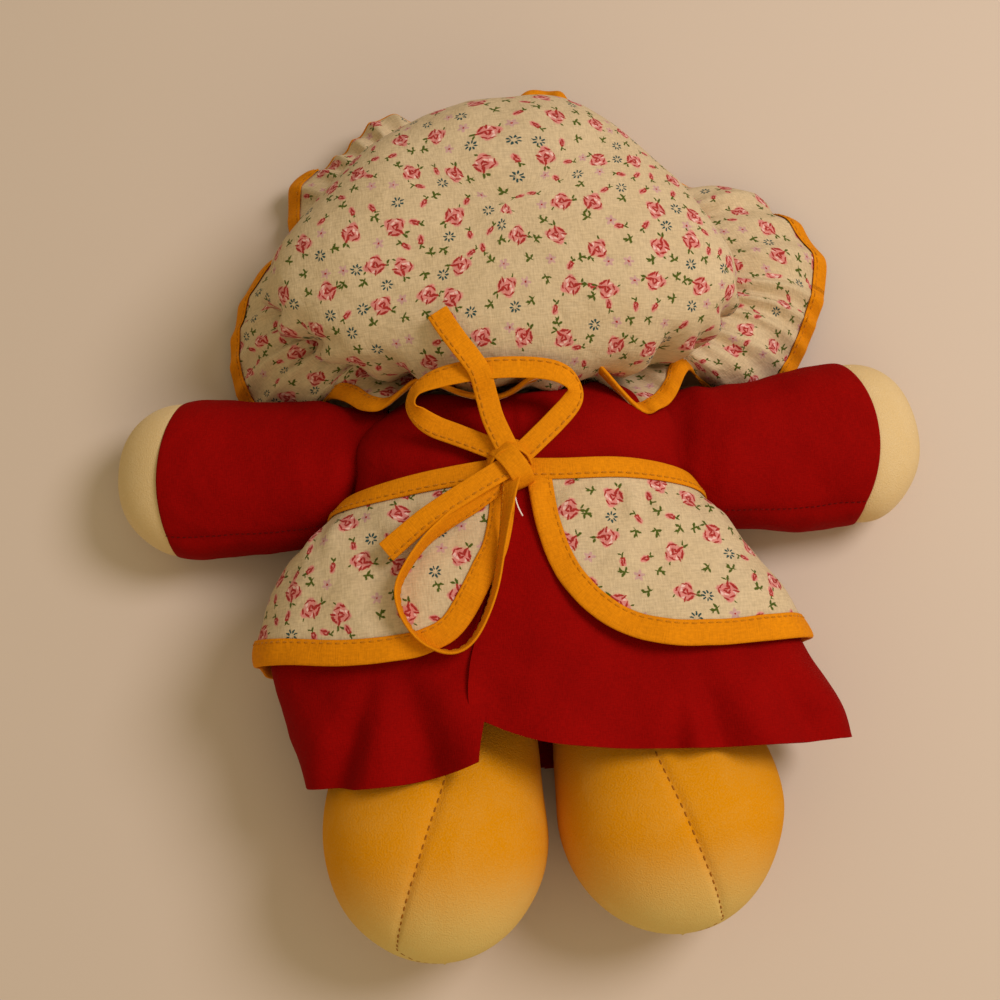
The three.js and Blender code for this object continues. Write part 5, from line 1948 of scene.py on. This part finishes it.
@dataclass
class Cap:
    """The mob cap: a puffed crown gathered on elastic, and a bound frill.

    Attributes:
        half: Half width and half height of the face opening.
        inside: A place inside the crown that its cloth looks away from.
        tilt: How far the opening leans from the forehead back to the nape, in degrees.
        height: Height of the crown above the opening.
        sag: How far the crown's sides sink towards the nape, in mm.
        taper: How much narrower it gets towards the forehead, and how much rounder at the nape.
        outline: Share of the opening's size and of the height, from the elastic to the top.
        edge: Line of the frill's edge, from the doll's right over the forehead.
        rolled: Stretches of the edge, in degrees, that are rolled under.
        roll_ease: Degrees over which a roll opens at its ends.
        tucked: Length of cloth beyond the roll's turn, in mm.
        gathers: How many small gathers the elastic draws the frill into.
        creases: How many fine creases run up the crown from the elastic.
        pinches: Its deep creases: place in degrees, half width in degrees and depth.
    """

    half: Span = (77.7, 56.2)
    middle: Place = (0.0, 96.0, 32.0)
    inside: Place = (0.0, 96.0, 45.0)
    tilt: float = 16.0
    height: float = 67.0
    sag: float = 14.0
    taper: Span = (0.444, 0.33)
    cloth: float = 0.8
    crown_grid: Grid = (60, 260)
    frill_grid: Grid = (22, 420)
    floor: float = 0.9
    outline: Spans = (
        (1, 0), (1.06, 0.14), (1.1, 0.36), (1.03, 0.66), (0.78, 0.87), (0.4, 0.97), (0, 1))
    edge: tuple[Place, ...] = (
        (135.8, 98.4, 12), (128.9, 110.8, 12), (124.6, 117.6, 12), (114.2, 127.2, 12), (101.2, 134.4, 13),
        (84, 135.4, 12), (64, 148, 9), (47, 165, 10), (35, 177.5, 17), (26, 182, 19), (15, 179.5, 17),
        (0, 172, 10), (-15, 171, 10), (-30, 175, 14), (-43, 176.5, 20), (-52, 171, 20), (-61, 163, 18),
        (-68, 158.8, 16), (-73.4, 156.8, 14), (-81.3, 153.7, 14), (-84.8, 149.9, 12),
        (-86.8, 140.3, 10), (-86.6, 128.3, 9), (-85, 121, 6), (-97.5, 115.1, 10), (-103.2, 109.3, 11),
        (-108.9, 99, 10), (-113.5, 84.1, 9), (-114.6, 70.9, 8), (-112, 58, 6), (-105, 47, 4), (-96, 41, 3.5),
        (-87, 40.5, 5), (-80, 46, 14), (-73, 47.5, 32), (-66, 42.5, 46), (-59, 35.5, 52), (-52, 33.5, 56),
        (-44.5, 37.5, 61), (-37, 41, 67), (-29, 37.5, 71), (-17.6, 30.1, 73), (-2.5, 30.5, 75),
        (17.3, 40.7, 75), (28.7, 41.7, 73), (36, 35, 69), (44.5, 25, 65), (51, 22, 62), (60.8, 29.7, 56),
        (67, 41, 48), (72, 46, 36), (78, 45, 20), (85, 38, 6), (93, 34.5, 3), (103, 37, 3), (113, 44, 4),
        (122.5, 57, 7), (130.1, 71.8, 10), (134.9, 84.4, 11))
    rolled: Spans = ((19, 66), (96, 129))
    roll_ease: float = 7.0
    roll_radius: float = 3.6
    tucked: float = 8.0
    gathers: int = 58
    creases: int = 30
    pinches: tuple[Place, ...] = (
        (303, 3.4, 5.0), (316, 2.9, 3.6), (331, 3.4, 3.0), (346, 3.0, 2.2), (229, 3.4, 3.2), (217, 3.0, 3.6),
        (204, 2.9, 3.2), (192, 2.9, 2.4), (276, 3.0, 2.0), (252, 3.2, 2.2))
    cord: float = 0.8
    cord_grid: Grid = (180, 8)

    def at(self, angle: Array, share: Array, height: Array) -> Array:
        """Places on the crown.

        Args:
            angle: Places round the opening, from the doll's right over the forehead.
            share: Share of the opening's size.
            height: Height above the opening.

        Returns:
            The places in mm.
        """
        rise = np.clip(height / self.height, 0, 1)
        tilt = math.radians(self.tilt) * (1 - rise)
        square = np.where(np.sin(angle) < 0, 2.1, 2.7)
        upward = share * full(np.sin(angle), square)
        along = self.half[1] * upward
        cheeks = 1 - self.taper[0] * upward - self.taper[1] * np.minimum(upward, 0) ** 2
        across = self.half[0] * cheeks * share * full(np.cos(angle), square)
        y = self.middle[1] + along * np.cos(tilt) + height * np.sin(tilt) - self.sag * rise * (1 - rise)
        z = self.middle[2] - along * np.sin(tilt) + height * np.cos(tilt)
        return askew(np.stack(np.broadcast_arrays(across, y, z), -1))

    def creased(self, angle: Array, rise: Array) -> Array:
        """Long creases that the elastic draws up the crown, deepest at both ends of the nape.

        Args:
            angle: Places round the opening.
            rise: Share of the crown's height, in the same grid.

        Returns:
            How far the cloth moves out or in, in mm.
        """
        # Steps round a circle that never repeat, so that no two creases are alike.
        chances = np.mod(np.arange(1, 100)[:, None] * [0.6180, 0.7549, 0.5698, 0.8192], 1)
        fine = [(360 * c[0], 2.0 + 1.6 * c[2], 0.7 + 0.8 * c[1]) for c in chances[:self.creases]]
        made = np.zeros_like(angle)
        for (where, wide, depth), chance in zip((*self.pinches, *fine), chances):
            lean = (chance[3] - 0.5) * 0.8 * rise
            off = np.degrees(np.mod(angle - math.radians(where) - lean + math.pi, TURN) - math.pi) / wide
            dip = 0.65 * np.exp(-((np.abs(off) - 2.2) / 1.5) ** 2) - np.exp(-off ** 2)
            made += depth * dip * (1 - smoothstep(rise, 0.3, 0.55 + 0.3 * chance[1]))
        return made

    def crown(self) -> None:
        """Makes the crown, with its gathers, creases and soft dents."""
        rows, cols = self.crown_grid
        share, rise = spline(self.outline, rows + 1).T[:, :-1, None]
        a = ring_angles(rows, cols)
        rise = np.broadcast_to(rise, a.shape)
        points = self.at(a, share, 0.1 + rise * self.height)
        out = unit(points - np.array(self.inside))
        low = 1 - smoothstep(rise, 0.02, 0.5)
        wave = np.sin(23 * a + 2.2 * np.sin(3 * a) + 1.1 * np.sin(7 * a))
        fine = np.sin(self.gathers * a + 1.9 * np.sin(5 * a + 1))
        strong = 0.9 - 0.45 * np.sin(a)
        gathers = (2.3 * wave * low ** 1.2 + 0.9 * fine * low ** 3) * strong
        dents = ripple(points, 46, 31.0) * 2.6 + ripple(points, 17, 33.0) * (0.8 + low)
        free = smoothstep(rise, 0, 0.05)
        points = points + out * ((gathers + dents + self.creased(a, rise)) * free)[..., None]
        top = self.at(np.zeros(1), np.zeros(1), np.full(1, 0.1 + self.height))[0]
        tip = points[-1].mean(0) * [1, 1, 0] + [0, 0, max(points[-1, :, 2].mean(), top[2])]
        skin = Skin(points[::-1], self.crown_uv(points)[::-1], True, (tip,))
        made = thicken(skin.build("cap_puff", self.inside), self.cloth, 0)
        bend_at_nape(made)
        settle(made, PRINTED_COTTON, None, ["cap_crown"])

    def crown_uv(self, points: Array) -> Array:
        """Lays the crown out flat round its top, so that the print isn't drawn out.

        Args:
            points: Rows of points from the elastic to the top.

        Returns:
            The same grid on the flat cloth in mm, with one more column.
        """
        rows, cols = points.shape[:2]
        steps = np.linalg.norm(np.diff(points, axis=0), axis=2)
        away = np.vstack([np.cumsum(steps[::-1], 0)[::-1], np.zeros((1, cols))]) + 4
        away = np.stack([evened(row, "wrap") for row in away])
        centre, rim = points[-1].mean(0), points[rows // 3]
        turn = np.unwrap(np.arctan2(rim[:, 1] - centre[1], rim[:, 0] - centre[0]))
        turn = np.append(turn, turn[0] + TURN)
        away = np.hstack([away, away[:, :1]])
        return np.stack([away * np.cos(turn), away * np.sin(turn)], -1) + 500

    def turn_of(self, points: Array) -> Array:
        """The direction of places from the opening's middle, as an angle round it."""
        up, across = (points[..., 1] - self.middle[1]) / self.half[1], points[..., 0] / self.half[0]
        return np.mod(np.arctan2(up, across), TURN)

    def frill_points(self, angle: Array, t: Array) -> Array:
        """Places on the frill.

        Args:
            angle: Places round the opening.
            t: From 0 at the elastic to 1 at the edge.

        Returns:
            The places in mm, in the grid of both.
        """
        base = self.at(angle, np.ones_like(angle), np.full_like(angle, -0.4))
        line = spline(self.edge, 960, loop=True)
        order = np.argsort(self.turn_of(line))
        turn = self.turn_of(base)
        edge = read_along(line[order], self.turn_of(line)[order], turn, period=TURN)
        degrees = np.degrees(turn)
        ease = self.roll_ease
        roll = sum(smoothstep(degrees, a - ease, a) * (1 - smoothstep(degrees, b, b + ease))
                   for a, b in self.rolled)
        straight = np.linalg.norm(edge - base, axis=-1)
        under = self.tucked + 2.2 * self.roll_radius
        long = straight + roll * (under - self.roll_radius)
        reach = t * long
        past = np.maximum(reach - (long - under), 0)
        bend = np.minimum(past / self.roll_radius, 3.4)
        after = past - bend * self.roll_radius
        rolled = long - under + self.roll_radius * np.sin(bend) + after * np.cos(bend)
        flat = reach + np.where(past > 0, roll * (rolled - reach), 0)
        drop = roll * (self.roll_radius * (1 - np.cos(bend)) + after * np.sin(bend))
        share = flat / np.maximum(long - roll * (under - self.roll_radius), 1)
        within = np.clip(share, 0, 1)
        wave = np.sin(19 * angle + 2.0 * np.sin(2 * angle + 1) + 1.2 * np.sin(5 * angle))
        fine = np.sin(self.gathers * angle + 1.6 * np.sin(3 * angle))
        room = np.clip(long / 26, 0.35, 1.2)
        folds = 3.2 * (1 - 2 * np.abs(wave) ** 1.3) * within ** 0.8 * (1 - 0.35 * within)
        swell = (folds + 1.5 * fine * (1 - within) ** 1.3) * room * smoothstep(share, 0, 0.12)
        level = np.hypot(*np.moveaxis((edge - base)[..., :2], -1, 0))
        bulge = 6.75 * within ** 2 * (1 - within) * 0.16 * level
        point = base + (edge - base) / straight[..., None] * flat[..., None]
        height = base[..., 2] + (edge[..., 2] - base[..., 2]) * np.abs(share) ** 1.7
        point[..., 2] = height + bulge + swell - drop
        lift_clear(point, self.floor)
        return point

    def frill_surface(self, angle: Array, step: float = 0.02) -> Surface:
        """The frill along its edge.

        Args:
            angle: Places round the opening.
            step: Part of the frill's width, and of a radian, over which its slopes are taken.

        Returns:
            A function from a distance in from the edge to places and outward directions.
        """
        one = np.ones_like(angle)
        long = np.linalg.norm(self.frill_points(angle, one) - self.frill_points(angle, 0 * one), axis=-1)

        def surface(inset: float) -> tuple[Array, Array]:
            """Places on the frill near its edge.

            Args:
                inset: Distance in from the edge.

            Returns:
                The places, and the direction out of the cloth at each.
            """
            t = np.clip(1 - inset / np.maximum(long, 12), 0.2, 1.1)
            points = self.frill_points(angle, t)
            along = self.frill_points(angle + step, t) - self.frill_points(angle - step, t)
            out = self.frill_points(angle, t + step) - self.frill_points(angle, t - step)
            return points, unit(np.cross(out, along))
        return surface

    def frill(self) -> None:
        """Makes the frill and its binding, which lie on the back at the nape."""
        rows, cols = self.frill_grid
        angles = ring_angles(rows, cols)
        points = self.frill_points(angles, np.linspace(0, 1, rows)[:, None] + 0 * angles)
        closed = np.arange(cols + 1) % cols
        turn = run_along(points[2 * rows // 3, closed])
        steps = np.linalg.norm(np.diff(points, axis=0), axis=2)
        out = np.concatenate([np.zeros((1, cols)), np.cumsum(steps, 0)])[:, closed] + 900
        uv = np.stack(np.broadcast_arrays(turn[None, :], out), -1)
        made = thicken(Skin(points, uv, True).build("cap_frill_cloth", (0, 96, -400)), self.cloth, 0)
        surface = self.frill_surface(angles[0])
        bound = FRILL_TAPE.binding("cap_frill_binding", surface, loop=True)
        seam = FRILL_TAPE.binding_stitches("cap_frill_binding_stitches", surface)
        for piece in (made, bound, seam):
            bend_at_nape(piece)
        settle(bound, BIAS_TAPE, None, ["cap_binding"])
        settle(seam, YELLOW_THREAD)
        settle(made, PRINTED_COTTON, None, ["cap_frill"])

    def elastic(self) -> None:
        """Makes the cord elastic in the gathers."""
        count, sides = self.cord_grid
        angle = ring_angles(1, count)[0]
        line = self.at(angle, 0.972 + 0 * angle, 0 * angle - 0.2)
        out = unit(line - np.array(self.middle))
        rings = np.stack([line + self.cord * (out * math.cos(b) + UP * math.sin(b))
                          for b in ring_angles(1, sides)[0]], 1)
        made = closed_band("cap_gather_elastic", rings)
        fix_normals(made)
        bend_at_nape(made)
        settle(made, CORD_ELASTIC, None, ["cap_elastic"])

    def build(self) -> None:
        """Makes the crown, the frill and the elastic."""
        self.crown()
        self.frill()
        self.elastic()


# Stage


@dataclass(frozen=True)
class Lamp:
    """One soft lamp that faces the doll.

    Attributes:
        place: Where it hangs, in mm.
        size: Its width in mm.
        power: In watts.
    """

    name: str
    place: Place
    size: float
    power: float
    colour: str

    def build(self) -> None:
        """Hangs the lamp and turns it to the doll's middle."""
        data = bpy.data.lights.new(self.name, "AREA")
        data.shape, data.size, data.energy = "DISK", self.size * MM, self.power
        data.color = linear(self.colour)[:3]
        obj = bpy.data.objects.new(self.name, data)
        obj.location = Vector(self.place) * MM
        aim = Vector((0, 0, 0.03)) - obj.location
        obj.rotation_euler = aim.to_track_quat("-Z", "Y").to_euler()
        bpy.context.scene.collection.objects.link(obj)


@dataclass
class Stage:
    """The plain table top, the soft light and the camera.

    Attributes:
        azimuth: The camera's direction round the doll, in degrees.
        elevation: Its height above the table, in degrees.
        target: The place that it looks at.
        room: Colour of the light that the room throws back, and its strength.
        lamps: The lamps: cool light from a window, and a weak warm one opposite.
    """

    azimuth: float = -4.9
    elevation: float = 76.0
    distance: float = 650.0
    target: Place = (-9.0, -2.0, 40.0)
    lens: float = 60.0
    sensor: float = 36.0
    table_half: float = 4000.0
    room: tuple[str, float] = ("#F9E9C6", 0.46)
    lamps: tuple[Lamp, ...] = (Lamp("window", (750, 220, 1070), 560, 11.0, "#F6F0F9"),
                               Lamp("fill", (250, -950, 1000), 900, 2.5, "#FFE9C4"))

    def camera(self) -> None:
        """Makes the camera."""
        az, el = math.radians(self.azimuth), math.radians(self.elevation)
        ahead = Vector((-math.sin(az) * math.cos(el), math.cos(az) * math.cos(el), -math.sin(el)))
        right = Vector((math.cos(az), math.sin(az), 0))
        up = right.cross(ahead)
        data = bpy.data.cameras.new("camera")
        data.lens, data.sensor_width = self.lens, self.sensor
        data.clip_start, data.clip_end = 0.01, 20
        obj = bpy.data.objects.new("camera", data)
        axes = Matrix((right, up, -ahead)).transposed().to_4x4()
        place = (Vector(self.target) - ahead * self.distance) * MM
        obj.matrix_world = Matrix.Translation(place) @ axes
        bpy.context.scene.collection.objects.link(obj)
        bpy.context.scene.camera = obj

    def table(self) -> None:
        """Makes the table top."""
        half = self.table_half
        points = np.array([(-half, -half, 0), (half, -half, 0), (half, half, 0), (-half, half, 0)])
        top = make_object("table_top", points, [(0, 1, 2, 3)], (0, 0, -10))
        top.data.materials.append(TABLE_PAINT.make())

    def build(self) -> None:
        """Makes the table, the light and the camera."""
        world = bpy.data.worlds.new("room")
        bpy.context.scene.world = world
        world.use_nodes = True
        sky = world.node_tree.nodes["Background"]
        sky.inputs["Color"].default_value = linear(self.room[0])
        sky.inputs["Strength"].default_value = self.room[1]
        self.table()
        for lamp in self.lamps:
            lamp.build()
        self.camera()
        bpy.context.scene.view_settings.view_transform = "Standard"


def main() -> None:
    """Builds the stage and the doll round its frame."""
    logging.basicConfig(level=logging.INFO, format="%(name)s %(message)s")
    Stage().build()
    Torso().build()
    Head().build()
    Arm(side=Side.LEFT).build()
    Arm(side=Side.RIGHT,
        up_body=Profile(((50, 13), (80, 10.5), (110, 12), (137, 13.8), (162, 14))),
        width=Profile(((50, 22), (62, 24.5), (80, 27), (110, 30.5), (135, 32.2), (165, 32.2))),
        lean=0.0, scoop=7.5, hand_end=161.5, hand_from=136.0).build()
    Boot(side=Side.LEFT).build()
    Boot(side=Side.RIGHT, length=113.5, seam_swing=-0.85).build()
    Dress().build()
    Apron(Bow().build()).build()
    Cap().build()


if __name__ == "__main__":
    main()
